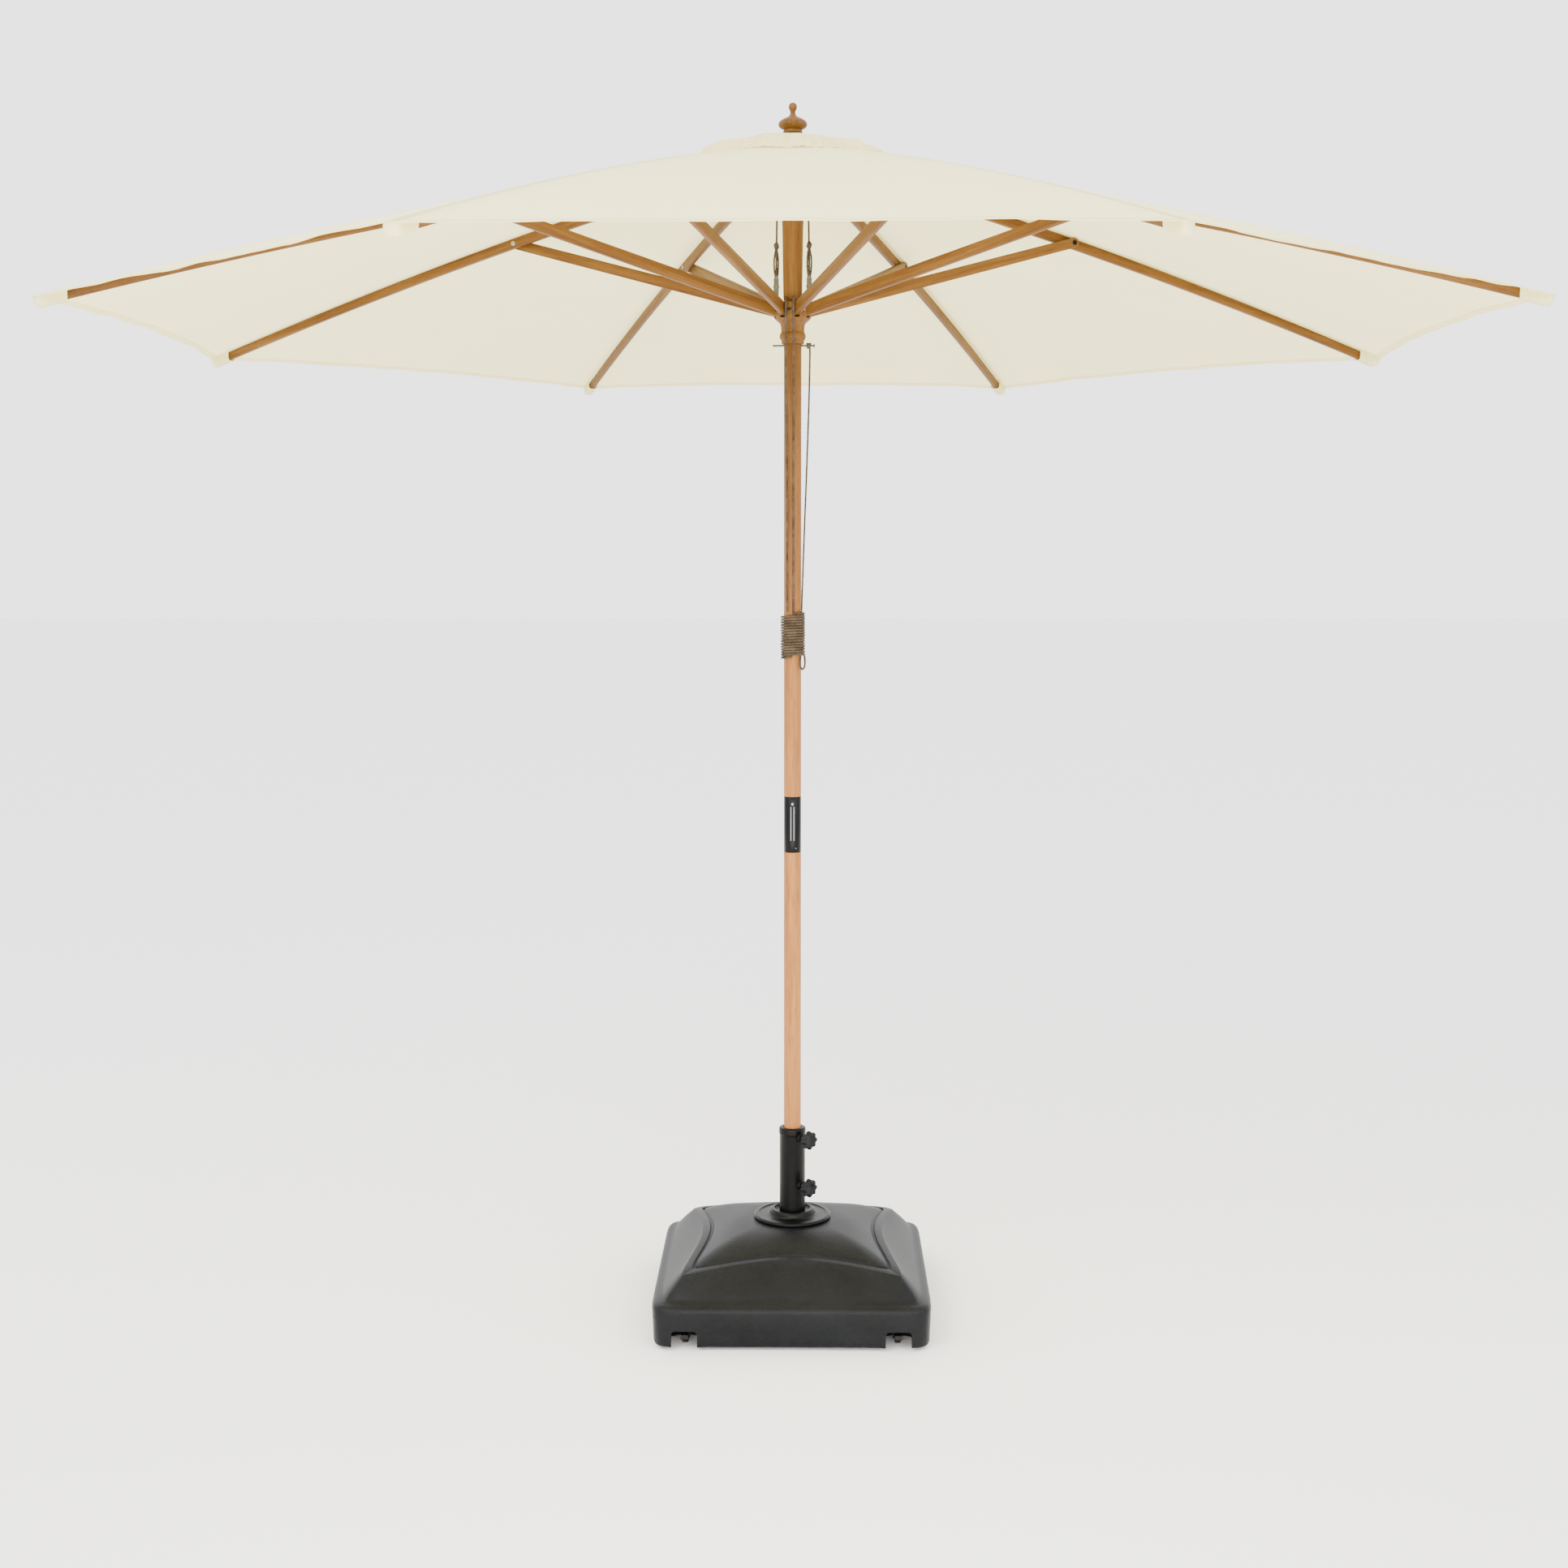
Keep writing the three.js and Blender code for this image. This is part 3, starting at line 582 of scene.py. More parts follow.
def tank():
    segments = 480
    angles = [2 * math.pi * i / segments for i in range(segments)]
    rings = []

    def square(half, z, recess=0.0):
        ring = []
        for a in angles:
            r = super_radius(half, a)
            along = min(abs(r * math.cos(a)), abs(r * math.sin(a)))
            inset = recess / (1 + math.exp((along - 186) / 2.5))
            ring.append((r - inset, z))
        rings.append(ring)

    def panel(middle, corner, rise, drop):
        rings.append([(pincushion(middle, corner, a), rise - drop * cornerness(a) ** 2) for a in angles])

    for half, z, recess in ((284, 6, 5), (288, 8, 5), (289.5, 12, 5), (290, 30, 5), (290.4, 40, 4),
                            (290.8, 48, 1.6), (291, 54, 0.4), (292, 80, 0), (291.6, 84.5, 0),
                            (290, 88.5, 0), (287, 91.6, 0), (282, 94, 0)):
        square(half, z, recess)
    panel(275, 274, 96.5, 0.5)
    rows = 9
    for i in range(1, rows):
        t = i / rows
        panel(275 + (199 - 275) * t, 274 + (240 - 274) * t, 96.5 + (160 - 96.5) * t ** 0.88, 0.5 + 21.5 * t)
    for middle, corner, rise, drop in (
            (199, 240, 160.4, 22), (197.4, 238.2, 162.4, 22), (195.6, 236, 163.4, 22),
            (182, 219, 165.3, 18.5), (180.4, 217.4, 165.0, 18), (179, 216, 162.6, 17.6),
            (177.6, 214.4, 161.8, 17.2), (175.6, 212.4, 161.9, 17), (174.2, 211, 162.8, 17),
            (172.6, 209.4, 166.2, 17), (170.6, 207, 168, 17)):
        panel(middle, corner, rise, drop)
    for i in range(1, 9):
        t = i / 8
        ring = []
        for a in angles:
            start = pincushion(170.6, 207, a)
            r = start + (90 - start) * t
            low = 168 - 17 * cornerness(a) ** 2
            ring.append((r, low + (195.6 - low) * (1 - (1 - t) ** 1.7)))
        rings.append(ring)
    rings.append([(60, 196.0)] * segments)
    verts = [(r * math.cos(a), r * math.sin(a), z) for ring in rings for a, (r, z) in zip(angles, ring)]
    faces = grid(len(rings) - 1, segments)
    low, high = len(verts), len(verts) + 1
    verts += [(0, 0, 6), (0, 0, 196)]
    last = (len(rings) - 1) * segments
    for i in range(segments):
        j = (i + 1) % segments
        faces.append((low, j, i))
        faces.append((high, last + i, last + j))
    piece = make("tank_shell", verts, faces, PLASTIC, 60)
    tools = []
    for sx in (-1, 1):
        for sy in (-1, 1):
            x, y = sx * CASTER[0], sy * CASTER[1]
            arch = [(x - 27, -2), (x + 27, -2), (x + 27, 34), (x + 25, 40), (x + 20, 42.5), (x - 20, 42.5),
                    (x - 25, 40), (x - 27, 34)]
            tools.append(cutter(*prism(arch, y, sy * 320)))
            tools.append(cutter(*rod_mesh(40, (x, y, -2), (x, y, 48.3), 48)))
    tools.append(cutter(*lathe_mesh([(0, 160), (23.4, 160), (24.4, 215), (0, 215)], 48)))
    shifted(tools[-1], y=FILL_CAP_Y)
    carve(piece, tools, 48)
    place(piece, "base", "base_tank")


tank()

FILL_PLUG = smooth_outline([(0, 168.5, 1), (21.6, 168.5, 1), (22.2, 170), (22.2, 178), (21, 181, 1),
                            (17, 181.6), (15, 180.4, 1), (0, 180.4)])
cap = turned("fill_plug", FILL_PLUG, PLASTIC, "fill_cap", "fill_cap", 64)
grip = make("fill_plug_grip", *box_mesh(-15.5, 15.5, -2.4, 2.4, 180, 187), PLASTIC, 40)
bevelled(grip, 1.0)
place(grip, "fill_cap")
for piece in (cap, grip):
    shifted(piece, FILL_CAP_Y, -8)

turned("flange_ring", smooth_outline([
    (28.6, 196.4, 1), (80, 196.4, 1), (83, 197), (84.2, 199.5), (83.6, 202), (81, 204), (77, 204.6, 1),
    (74, 204.4), (72.8, 203, 1), (60, 203.2), (53, 204), (50, 206, 1), (48.6, 211), (46.6, 214.6),
    (43, 216), (39, 215, 1), (37.5, 211.5), (35, 210.5), (28.6, 210.5, 1),
]), BLACK, "base", "base_flange", 128, closed=True)

direction = Vector((math.cos(KNOB_TURN), math.sin(KNOB_TURN), 0))
turned("socket_pipe", smooth_outline([
    (0, 197, 1), (28, 197, 1), (28, 380, 1), (28.6, 382), (29.2, 384), (29.2, 393), (28.4, 395.6),
    (26.6, 397, 1), (20.2, 397, 1), (20.2, 206.3, 1), (0, 206.3, 1),
]), BLACK, "base", "socket_tube", 96)
across_tube = direction.cross(Vector(UP))


def about_knob_axis(profile, height, sides, lobes=0, lobe_size=0.0):
    """Rings of points round a knob's axis, from (reach, radius, share of the lobes) points."""
    verts = []
    for reach, radius, lobed in profile:
        ring = ring_about(direction * reach, Vector(UP), across_tube,
                          lambda a: radius + lobed * lobe_size * math.cos(lobes * a), sides)
        verts += [(x, y, z + height) for x, y, z in ring]
    return verts, grid(len(profile) - 1, sides, inward=True)


BOSS = [(25, 10.4, 0), (32.4, 10.4, 0), (33.6, 9.2, 0), (33.6, 5, 0), (27, 5, 0)]
KNOB = [(43.2, 6.0, 0), (44.2, 7.6, 0), (48.5, 8.4, 0), (50.2, 13.5, 0.4), (51.2, 17.4, 1), (53.4, 18.7, 1),
        (59.5, 18.7, 1), (62.0, 17.4, 1), (63.1, 14.5, 0.7), (63.1, 9.6, 0), (62.2, 8.6, 0), (62.2, 0.01, 0)]
boss_parts = [about_knob_axis(BOSS, height, 40) for height in KNOB_HEIGHTS.values()]
bosses = make("socket_bosses", *joined(boss_parts), BLACK, 40)
place(bosses, "base")
for node, height in KNOB_HEIGHTS.items():
    head = make(node + "_head", *about_knob_axis(KNOB, height, 96, 8, 1.75), PLASTIC, 45)
    stud_verts, stud_faces = rod_mesh(4, direction * (POLE_R + 0.5), direction * 46, 24)
    stud = make(node + "_head_stud", [(x, y, z + height) for x, y, z in stud_verts], stud_faces, STEEL, 40)
    place(head, node, node)
    place(stud, node)


def repainted(piece, material):
    piece.data.materials.clear()
    piece.data.materials.append(material)


for name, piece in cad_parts.items():
    if name.endswith("_fork") or name.startswith("brake_"):
        repainted(piece, BLACK)
TYRE = smooth_outline([(3, -6.5, 1), (8, -6.5), (9, -5.6, 1), (12, -5.6, 1), (13, -6.5), (15, -6.5),
                       (16.5, -5.6), (17, -4), (17, 4), (16.5, 5.6), (15, 6.5), (13, 6.5), (12, 5.6, 1),
                       (9, 5.6, 1), (8, 6.5), (3, 6.5, 1)], 3)
for end, sy in (("front", -1), ("rear", 1)):
    for side, sx in (("left", -1), ("right", 1)):
        node = f"caster_{end}_{side}_wheel"
        verts, faces = lathe_mesh(TYRE, 48, True)
        x, y, z = sx * CASTER[0], sy * (CASTER[1] - 13), 17
        tyre = make(node + "_tyre", [(x + c, y + a, z + b) for a, b, c in verts], faces, RUBBER, 40)
        place(tyre, node, node)

# ---------------------------------------------------------------- pole
lower = turned("pole_lower_length", smooth_outline([
    (0, 206.6, 1), (17, 206.6, 1), (18.2, 207.6), (18.5, 210, 1), (18.5, 400, 1), (18.5, 700, 1),
    (18.5, 1002.2, 1), (17.9, 1002.8, 1), (16.5, 1002.8, 1), (16.5, 1062.6, 1),
    (0, 1062.6, 1)]), POLE_WOOD, "mast", "lower_pole", 96)
grain_along(lower, UP, seed=1)
upper = turned("pole_upper_length", smooth_outline([
    (0, 1063, 1), (16.5, 1063, 1), (16.5, 1123.2, 1), (17.9, 1123.2, 1), (18.5, 1123.9, 1), (18.5, 1500, 1),
    (18.5, 1900, 1), (18.5, 2369, 1), (18, 2370, 1), (0, 2370, 1)]), POLE_WOOD, "mast", "upper_pole", 96,
    cutters=[cutter(*rod_mesh(2.8, (-30, 0, LOCK_PIN_Z), (30, 0, LOCK_PIN_Z), 24)),
             cutter(*rod_mesh(3.5, (0, -25, BUTTON_Z), (0, -9.5, BUTTON_Z), 24))])
grain_along(upper, UP, seed=2)


def slot_strip(name, x0, x1, depth, material):
    """A narrow upright strip, as long as the slot in the front of the sleeve."""
    verts, faces = [], []
    cols = 5
    for z in SLEEVE_SLOT:
        for r in (POLE_R + 0.12, POLE_R - depth):
            for i in range(cols):
                x = x0 + (x1 - x0) * i / (cols - 1)
                verts.append((x, -math.sqrt(max(1, r * r - x * x)), z))
    for row_a, row_b, flip in ((0, 2, False), (1, 3, True), (0, 1, True), (2, 3, False)):
        for i in range(cols - 1):
            face = (row_a * cols + i, row_a * cols + i + 1, row_b * cols + i + 1, row_b * cols + i)
            faces.append(face[::-1] if flip else face)
    faces.append((0, 2 * cols, 3 * cols, cols))
    faces.append((cols - 1, 2 * cols - 1, 4 * cols - 1, 3 * cols - 1))
    piece = make(name, verts, faces, material, 40)
    place(piece, "mast")
    return piece


turned("sleeve_tube", smooth_outline([
    (17, 1003, 1), (18.2, 1003, 1), (18.5, 1003.4, 1), (18.5, 1122.6, 1), (18.2, 1123, 1), (17, 1123, 1)]),
    DARK_STEEL, "mast", "ferrule_sleeve", 96, closed=True,
    cutters=[cutter(*box_mesh(-4.6, 4.6, -22, -10, *SLEEVE_SLOT)),
             cutter(*rod_mesh(3.6, (0, -22, BUTTON_Z), (0, -12, BUTTON_Z), 24))])
slot_strip("sleeve_lip_left", -4.6, -2.4, 1.3, BRIGHT)
slot_strip("sleeve_lip_right", 2.4, 4.6, 1.3, BRIGHT)
# painted shade: a black strip lies in the slot so that the recess reads dark
shifted(slot_strip("sleeve_slot_shade", -4.5, 4.5, 1.9, BLACK), y=1.1)


def forward(name, outline, sides, z):
    """A small turned piece whose axis points to the front, at height z."""
    verts, faces = lathe_mesh(smooth_outline(outline), sides)
    return make(name, [(x, -away, y + z) for x, y, away in verts], faces, BRIGHT, 40)


rivet = forward("sleeve_rivet", [(0, 17.5, 1), (1.6, 17.5, 1), (1.6, 18.8), (1.1, 19.1), (0, 19.2)], 20, 0)
rivet.data.transform(Matrix.Rotation(0.42, 4, "Z"))
shifted(rivet, z=1012)
place(rivet, "mast")
button = forward("spring_button", [(0, 14.6, 1), (3, 14.6, 1), (3, 18.6), (2.3, 19.2), (0, 19.3)], 28,
                 BUTTON_Z)
place(button, "ferrule_button", "ferrule_button")

# ---------------------------------------------------------------- hub, runner, finial


def radial_slots(low, high, inner, side, width=13.2):
    """Cutters for the slots that the bars stand in."""
    tools = []
    for angle in TURNS:
        verts, faces = box_mesh(inner, 70, side - width / 2, side + width / 2, low, high)
        tools.append(cutter(spun(verts, angle), faces))
    return tools


def groove_tool(radius, z, rim):
    low, high = z - 2.8, z + 2.8
    outline = [(radius - 3, low), (rim + 2, low), (rim + 2, high), (radius - 3, high)]
    return cutter(*lathe_mesh(outline, 64, True))


verts, faces = box_mesh(8, 40, MID_GAP - 3.6, MID_GAP + 3.6, 2384, 2414)
sheave_tools = [cutter(spun(verts, angle), faces) for angle in (0, math.pi)]
hub = turned("hub_turning", smooth_outline([
    (0, 2370.4, 1), (18.9, 2370.4, 1), (18.9, 2169, 1), (19.3, 2168.6), (19.7, 2170, 1), (20.8, 2240),
    (22, 2316), (23.6, 2350), (26, 2392), (30, 2412), (38, 2426), (45, 2434, 1), (46, 2436), (46, 2483),
    (45, 2485.6), (43, 2487, 1), (14, 2490, 1), (11, 2494, 1), (11, 2506, 1),
    (0, 2506, 1)], 4), HARDWOOD, "mast", "hub", 96,
    cutters=radial_slots(2380, 2476, HUB_PIVOT[0] - 13, BAR_SIDE)
    + [groove_tool(HUB_PIVOT[0], HUB_PIVOT[1], 46)] + sheave_tools)
grain_along(hub, UP, seed=3)

L = RUNNER_LOW
runner = turned("runner_turning", smooth_outline([
    (19.7, L, 1), (22.6, L, 1), (23.6, L + 1, 1), (24, L + 8, 1), (26.6, L + 10), (27.6, L + 15.5),
    (26.6, L + 21), (24.6, L + 23.4, 1), (24.6, L + 28), (25.4, L + 38), (29, L + 44), (36, L + 50),
    (39.4, L + 55), (40, L + 60, 1), (40, L + 80, 1), (39.4, L + 82.6), (38, L + 84, 1),
    (20.6, L + 84, 1), (19.7, L + 83, 1)], 4), HARDWOOD, "runner", "runner", 96, closed=True,
    cutters=radial_slots(RUNNER_PIVOT[1] - 16, L + 90, RUNNER_PIVOT[0] - 12.6, -BAR_SIDE)
    + [groove_tool(RUNNER_PIVOT[0], RUNNER_PIVOT[1], 40)])
grain_along(runner, UP, seed=4)

F = 2508
finial = turned("finial_turning", smooth_outline([
    (0, F, 1), (18.6, F, 1), (20, F + 1.6), (20.2, F + 4), (19, F + 6.4, 1), (18.4, F + 8, 1),
    (24.4, F + 10.2), (28.9, F + 14), (30, F + 18.5), (27.6, F + 24), (20.6, F + 29), (12.2, F + 33),
    (7, F + 37), (5.4, F + 41.5), (6, F + 46, 1), (8.3, F + 50.4), (8.6, F + 54.8), (6.8, F + 59.6),
    (3.2, F + 62), (0, F + 62.4)], 5), HARDWOOD, "mast", "finial")
grain_along(finial, UP, seed=5)
for name in ("hub_ring", "runner_ring"):
    repainted(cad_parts[name], STEEL)


# ---------------------------------------------------------------- ribs and struts
def rib_middle(r):
    u = (r - HUB_PIVOT[0]) / (RIB_TIP[0] - HUB_PIVOT[0])
    return HUB_PIVOT[1] + (RIB_TIP[1] - HUB_PIVOT[1]) * u + 4 * RIB_BOW * u * (1 - u)


def rib_depth(r):
    u = (r - HUB_PIVOT[0]) / (RIB_TIP[0] - HUB_PIVOT[0])
    return 2 * ROOT_R + (TIP_DEPTH - 2 * ROOT_R) * u


def rib_top(r):
    return rib_middle(r) + rib_depth(r) / 2


def pin_head(name, angle, radius, t0, t1, material, body):
    """A domed pin head at the elbow, that stands on the side of a bar from t0 out to t1."""
    sides = 24
    verts = []
    for share, reach in ((1.0, 0.0), (1.0, 0.55), (0.8, 0.86), (0.42, 1.0)):
        ring = arc(ELBOW, radius * share, radius * share, 0, 2 * math.pi, sides)[:-1]
        verts += [(x, t0 + (t1 - t0) * reach, z) for x, z in ring]
    faces = grid(3, sides) + [tuple(range(3 * sides, 4 * sides))]
    if t1 > t0:
        faces = [face[::-1] for face in faces]
    place(make(name, spun(verts, angle), faces, material, 40), body)


def bar_piece(name, outline, middle, angle, along, seed, node):
    """A wooden bar as wide as BAR_WIDTH about its middle, across the plane it turns in."""
    verts, faces = prism(outline, middle - BAR_WIDTH / 2, middle + BAR_WIDTH / 2)
    piece = make(name, spun(verts, angle), faces, HARDWOOD, 50)
    bevelled(piece, 1.6, 2, 60)
    grain_along(piece, (math.cos(angle) * along[0], math.sin(angle) * along[0], along[1]), seed=seed)
    place(piece, node, node)


RIB_SIDE = BAR_SIDE + BAR_WIDTH / 2
for k, angle in enumerate(TURNS):
    rib_low, rib_high = [], []
    stations = 40
    for i in range(stations + 1):
        r = HUB_PIVOT[0] + (1474 - HUB_PIVOT[0]) * i / stations
        rib_high.append((r, rib_top(r)))
        rib_low.append((r, rib_middle(r) - rib_depth(r) / 2))
    tip_middle = rib_middle(1480)
    nose = [(1481, tip_middle - 6.2), (1485.4, tip_middle - 2.4), (1487.4, tip_middle + 2.2),
            (1487.4, rib_top(1486) - 2.4), (1485.4, rib_top(1486) - 0.4)]
    root = arc(HUB_PIVOT, ROOT_R, ROOT_R, math.pi / 2, math.pi, 12)[1:-1]
    number = k + 1
    outline = root + rib_low + nose + rib_high[::-1]
    bar_piece(f"rib_bar_{number}", outline, BAR_SIDE, angle, (1, -0.25), 10 + k, f"rib_{number}")
    pin_head(f"rib_pin_{number}", angle, 5.2, RIB_SIDE, RIB_SIDE + 2, STEEL, f"rib_{number}")

    lean = math.atan2(ELBOW[1] - RUNNER_PIVOT[1], ELBOW[0] - RUNNER_PIVOT[0])
    outline = arc(ELBOW, ROOT_R - 1, ROOT_R - 1, lean - math.pi / 2, math.pi, 14)
    outline += arc(RUNNER_PIVOT, ROOT_R, ROOT_R, lean + math.pi / 2, math.pi, 14)
    bar_piece(f"strut_bar_{number}", outline, -BAR_SIDE, angle, (math.cos(lean), math.sin(lean)), 30 + k,
              f"strut_{number}")
    pin_head(f"strut_pin_{number}", angle, 5.4, -RIB_SIDE, -RIB_SIDE - 2, DARK_STEEL, f"strut_{number}")


# ---------------------------------------------------------------- canopy
def cloth_point(share, across, panel, lift=0.0):
    """A point of the canopy: share runs from the eye to the hem, across from rib (-1) to rib (1)."""
    between = math.cos(math.pi * across / 2) ** 2
    hem = CANOPY_R - SCALLOP * (1 - across * across)
    r = CANOPY_EYE + (hem - CANOPY_EYE) * share
    x = r * math.cos(STEP / 2)
    y = r * math.sin(STEP / 2) * across
    sag = CANOPY_SAG * between * math.sin(math.pi * min(share, 0.5))
    from_rib = (1 - abs(across)) * r * math.sin(STEP / 2)
    from_hem = (1 - share) * (CANOPY_R - CANOPY_EYE)
    seed = 17.3 * panel
    broad = noise.noise(Vector((x * 0.0035 + seed, y * 0.0035, 0.3)))
    fine = noise.noise(Vector((x * 0.006 + seed, y * 0.024, 3.1)))
    ripple = 0.9 * broad + 0.35 * fine
    pucker = math.sin(from_rib * 0.06 + 3 * broad) * math.exp(-from_rib / 90) * 0.4
    edge_wave = noise.noise(Vector((y * 0.011, seed, 7.7))) * 3.5 * math.exp(-from_hem / 60)
    calm = min(1.0, from_rib / 140) * min(1.0, share * 6)
    z = rib_top(r) + CANOPY_LIFT - sag + calm * (ripple + pucker + edge_wave) + lift
    c, s = math.cos(STEP * panel), math.sin(STEP * panel)
    return (x * c - y * s, x * s + y * c, z), r, from_rib, from_hem


def cloth_piece(name, rows, faces):
    """A piece of canvas from rows of (point, cloth coordinates, distances from its edges)."""
    verts, cloth, edges = zip(*rows)
    piece = make(name, verts, faces, CANVAS)
    set_vectors(piece, "cloth", cloth)
    set_vectors(piece, "edges", edges)
    return piece


def sector(k):
    """The cloth nearest one rib, from the middle of one panel to the middle of the next."""
    rows, cols = 84, 33
    half = [(i / cols) ** 1.35 for i in range(cols + 1)]
    sides = [-w for w in half[::-1]] + half[1:]
    wide = len(sides)
    points = []

    def add_row(share, lift):
        for w in sides:
            panel = k if w < 0 else k + 1
            across = 1 + w if w < 0 else w - 1
            p, r, from_rib, from_hem = cloth_point(share, across, panel % RIBS, lift)
            cloth = (math.copysign(from_rib, w) * MM, r * MM, 0)
            points.append((p, cloth, (from_hem * MM, from_rib * MM, 0)))

    for i in range(rows + 1):
        add_row(i / rows, 0.0)
    for inward, down in ((0.0, -0.9), (-3.0, -1.7), (-17.0, -1.5)):
        add_row(1 + inward / (CANOPY_R - CANOPY_EYE), down)
    return cloth_piece(f"canopy_panel_{k + 1}", points, grid(rows + 3, wide, False, True))


def strip(name, k, width, start, end, under, rows=60):
    """The seam allowance folded flat under the cloth along a rib."""
    points = []
    cols = 8
    for i in range(rows + 1):
        r = start + (end - start) * i / rows
        for j in range(cols + 1):
            w = width * (2 * j / cols - 1)
            z = rib_top(r) + CANOPY_LIFT - abs(w) * 0.09 - under
            p = spun([(r - abs(w) * math.tan(STEP / 2), w, z)], TURNS[k])[0]
            points.append((p, (w * MM, r * MM, 0), (1.0, abs(w) * MM, 0)))
    return cloth_piece(name, points, grid(rows, cols + 1, False, True))


def pocket(k):
    """A cloth pouch sewn under the corner of the canopy, with the rib's end in it."""
    rows, around = 16, 24
    points = []
    for i in range(rows + 1):
        t = i / rows
        r = 1440 + 59 * t ** 0.8
        close = math.sqrt(max(0.0, 1 - max(0.0, (r - 1483) / 16) ** 2))
        half = 0.4 + 12 * close
        deep = 0.4 + (rib_depth(r) + 4.8) * close
        side = BAR_SIDE * min(1.0, (1499 - r) / 11)
        for j in range(around + 1):
            a = math.pi * j / around
            c, s = math.cos(a), math.sin(a)
            x = half * math.copysign(abs(c) ** 0.42, c)
            z = deep * abs(s) ** 0.42
            wobble = 0.5 * math.sin(9 * t + 2.2 * j + k)
            p = (r + 0.4 * wobble, side + x, rib_top(r) + CANOPY_LIFT - 1.2 - z + 0.5 * wobble * s)
            points.append((spun([p], TURNS[k])[0], (a * 0.02, r * MM, 0), (t * 0.059, 1.0, 0)))
    return cloth_piece(f"tip_pocket_{k + 1}", points, grid(rows, around + 1, False, True))


for k, angle in enumerate(TURNS):
    panel = sector(k)
    tape = strip(f"seam_tape_{k + 1}", k, 12.0, 70, 1462, 1.4)
    pouch = pocket(k)
    place(panel, f"rib_{k + 1}", "canopy")
    place(tape, f"rib_{k + 1}")
    place(pouch, f"rib_{k + 1}")
    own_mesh(panel)


def vent_cap():
    """The loose cap over the eye, with a gathered, puckered hem."""
    around, rows = 480, 60
    points = []
    for i in range(rows + 1):
        t = i / rows
        for j in range(around):
            a = 2 * math.pi * j / around
            fold = abs(((a - STEP / 2) / STEP) % 1.0 - 0.5) * 2
            corner = math.cos(STEP / 2) / math.cos(fold * STEP / 2)
            off_middle = math.remainder(a, STEP)
            ring = Vector((math.cos(a), math.sin(a), 0))
            slow = noise.noise(ring * 2.1 + Vector((0, 0, 1.7)))
            middle = noise.noise(ring * 5.5 + Vector((0, 0, 5.2 + 0.8 * t)))
            quick = noise.noise(ring * 13 + Vector((0, 0, 9.4 + 0.5 * t)))
            gather = t ** 2.2
            pucker = abs(noise.noise(ring * 9 + Vector((0, 0, 3.1 + 0.6 * t))))
            r = (13 + (214 - 13) * t) * (1 + (corner - 1) * t)
            on_rib = r * math.cos(off_middle) / math.cos(STEP / 2)
            rest = rib_top(max(on_rib, CANOPY_EYE)) + CANOPY_LIFT
            crown = 2507 - 42 * t - 5 * t ** 3
            z = crown + t * (3 * slow + 3 * fold) + gather * (14 * middle + 9 * quick - 12 * pucker)
            hang = max(0.0, (t - 0.84) / 0.16)
            z = z + (rest + 2.5 + 3 * middle + 3 * quick - z) * hang ** 1.3
            r += (gather * (6 * middle + 5 * quick - 8 * pucker)
                  + 5 * math.sin(math.pi * min(1, hang)) - 3 * hang)
            p = (r * math.cos(a), r * math.sin(a), min(2507.4, max(z, rest + 1.5)))
            points.append((p, (a * r * MM, r * MM, 0),
                           ((1 - t) * 0.2 + 0.001, (1 - fold) * 0.0004 * r + 0.002, 0)))
    piece = cloth_piece("vent_cap_cloth", points, grid(rows, around, True, True))
    place(piece, "mast", "vent_cap")


vent_cap()


# ---------------------------------------------------------------- ropes
def curve_points(points, step):
    """Points every step millimetres along a smooth curve through the given points."""
    pts = [np.array(p, dtype=float) for p in points]
    ext = [2 * pts[0] - pts[1], *pts, 2 * pts[-1] - pts[-2]]
    dense = [spline(*ext[i - 1:i + 3], n / 24) for i in range(1, len(ext) - 2) for n in range(24)]
    dense = np.array([*dense, pts[-1]])
    gaps = np.linalg.norm(np.diff(dense, axis=0), axis=1)
    far = np.concatenate([[0], np.cumsum(gaps)])
    count = max(4, int(far[-1] / step))
    at = np.linspace(0, far[-1], count + 1)
    return np.stack([np.interp(at, far, dense[:, c]) for c in range(3)], axis=1)


def rope(name, line, radius, body, node=None, strands=3, lay_length=9.0, sides=15):
    """A laid rope: a tube whose three strands wind round the line."""
    line = np.asarray(line)
    count = len(line)
    verts = []
    tangent = np.gradient(line, axis=0)
    tangent /= np.linalg.norm(tangent, axis=1)[:, None]
    normal = Vector(tangent[0]).orthogonal().normalized()
    travelled = 0.0
    for i in range(count):
        t = Vector(tangent[i])
        normal = (normal - normal.dot(t) * t).normalized()
        other = t.cross(normal)
        if i:
            travelled += float(np.linalg.norm(line[i] - line[i - 1]))
        twist = 2 * math.pi * travelled / lay_length
        verts += ring_about(Vector(line[i]), normal, other, lambda a: radius * (
            0.84 + 0.16 * abs(math.cos(strands * (a - twist / strands) / 2))), sides)
    faces = grid(count - 1, sides)
    faces.append(tuple(range(sides - 1, -1, -1)))
    faces.append(tuple(range((count - 1) * sides, count * sides)))
    piece = make(name, verts, faces, ROPE, 70)
    place(piece, body, node)
    return piece


ROPE_R = 2.5
HOIST_R = ROPE_R * 0.85
LANYARD_R = ROPE_R * 0.8
WRAP_R = ROPE_R + 0.15
WRAP_LOW, WRAP_HIGH = 1418.0, 1517.0
WRAP_TURNS = 16


def fall_points(x):
    on_pole = -math.sqrt(POLE_R ** 2 - x ** 2)
    return [(x, on_pole - 3, 2171), (x, -30, 2171.5), (x, -40, 2168.5), (x, -45, 2160), (x, -45.5, 2146),
            (x, -44, 2126), (x, -36, 2100), (x, -31, 2070), (x, -26, 2000), (x * 0.9, -23.5, 1900),
            (x * 0.8, -22.5, 1760), (x * 0.8, -22.5, 1620), (x * 0.8, -23, WRAP_HIGH + 0.4)]


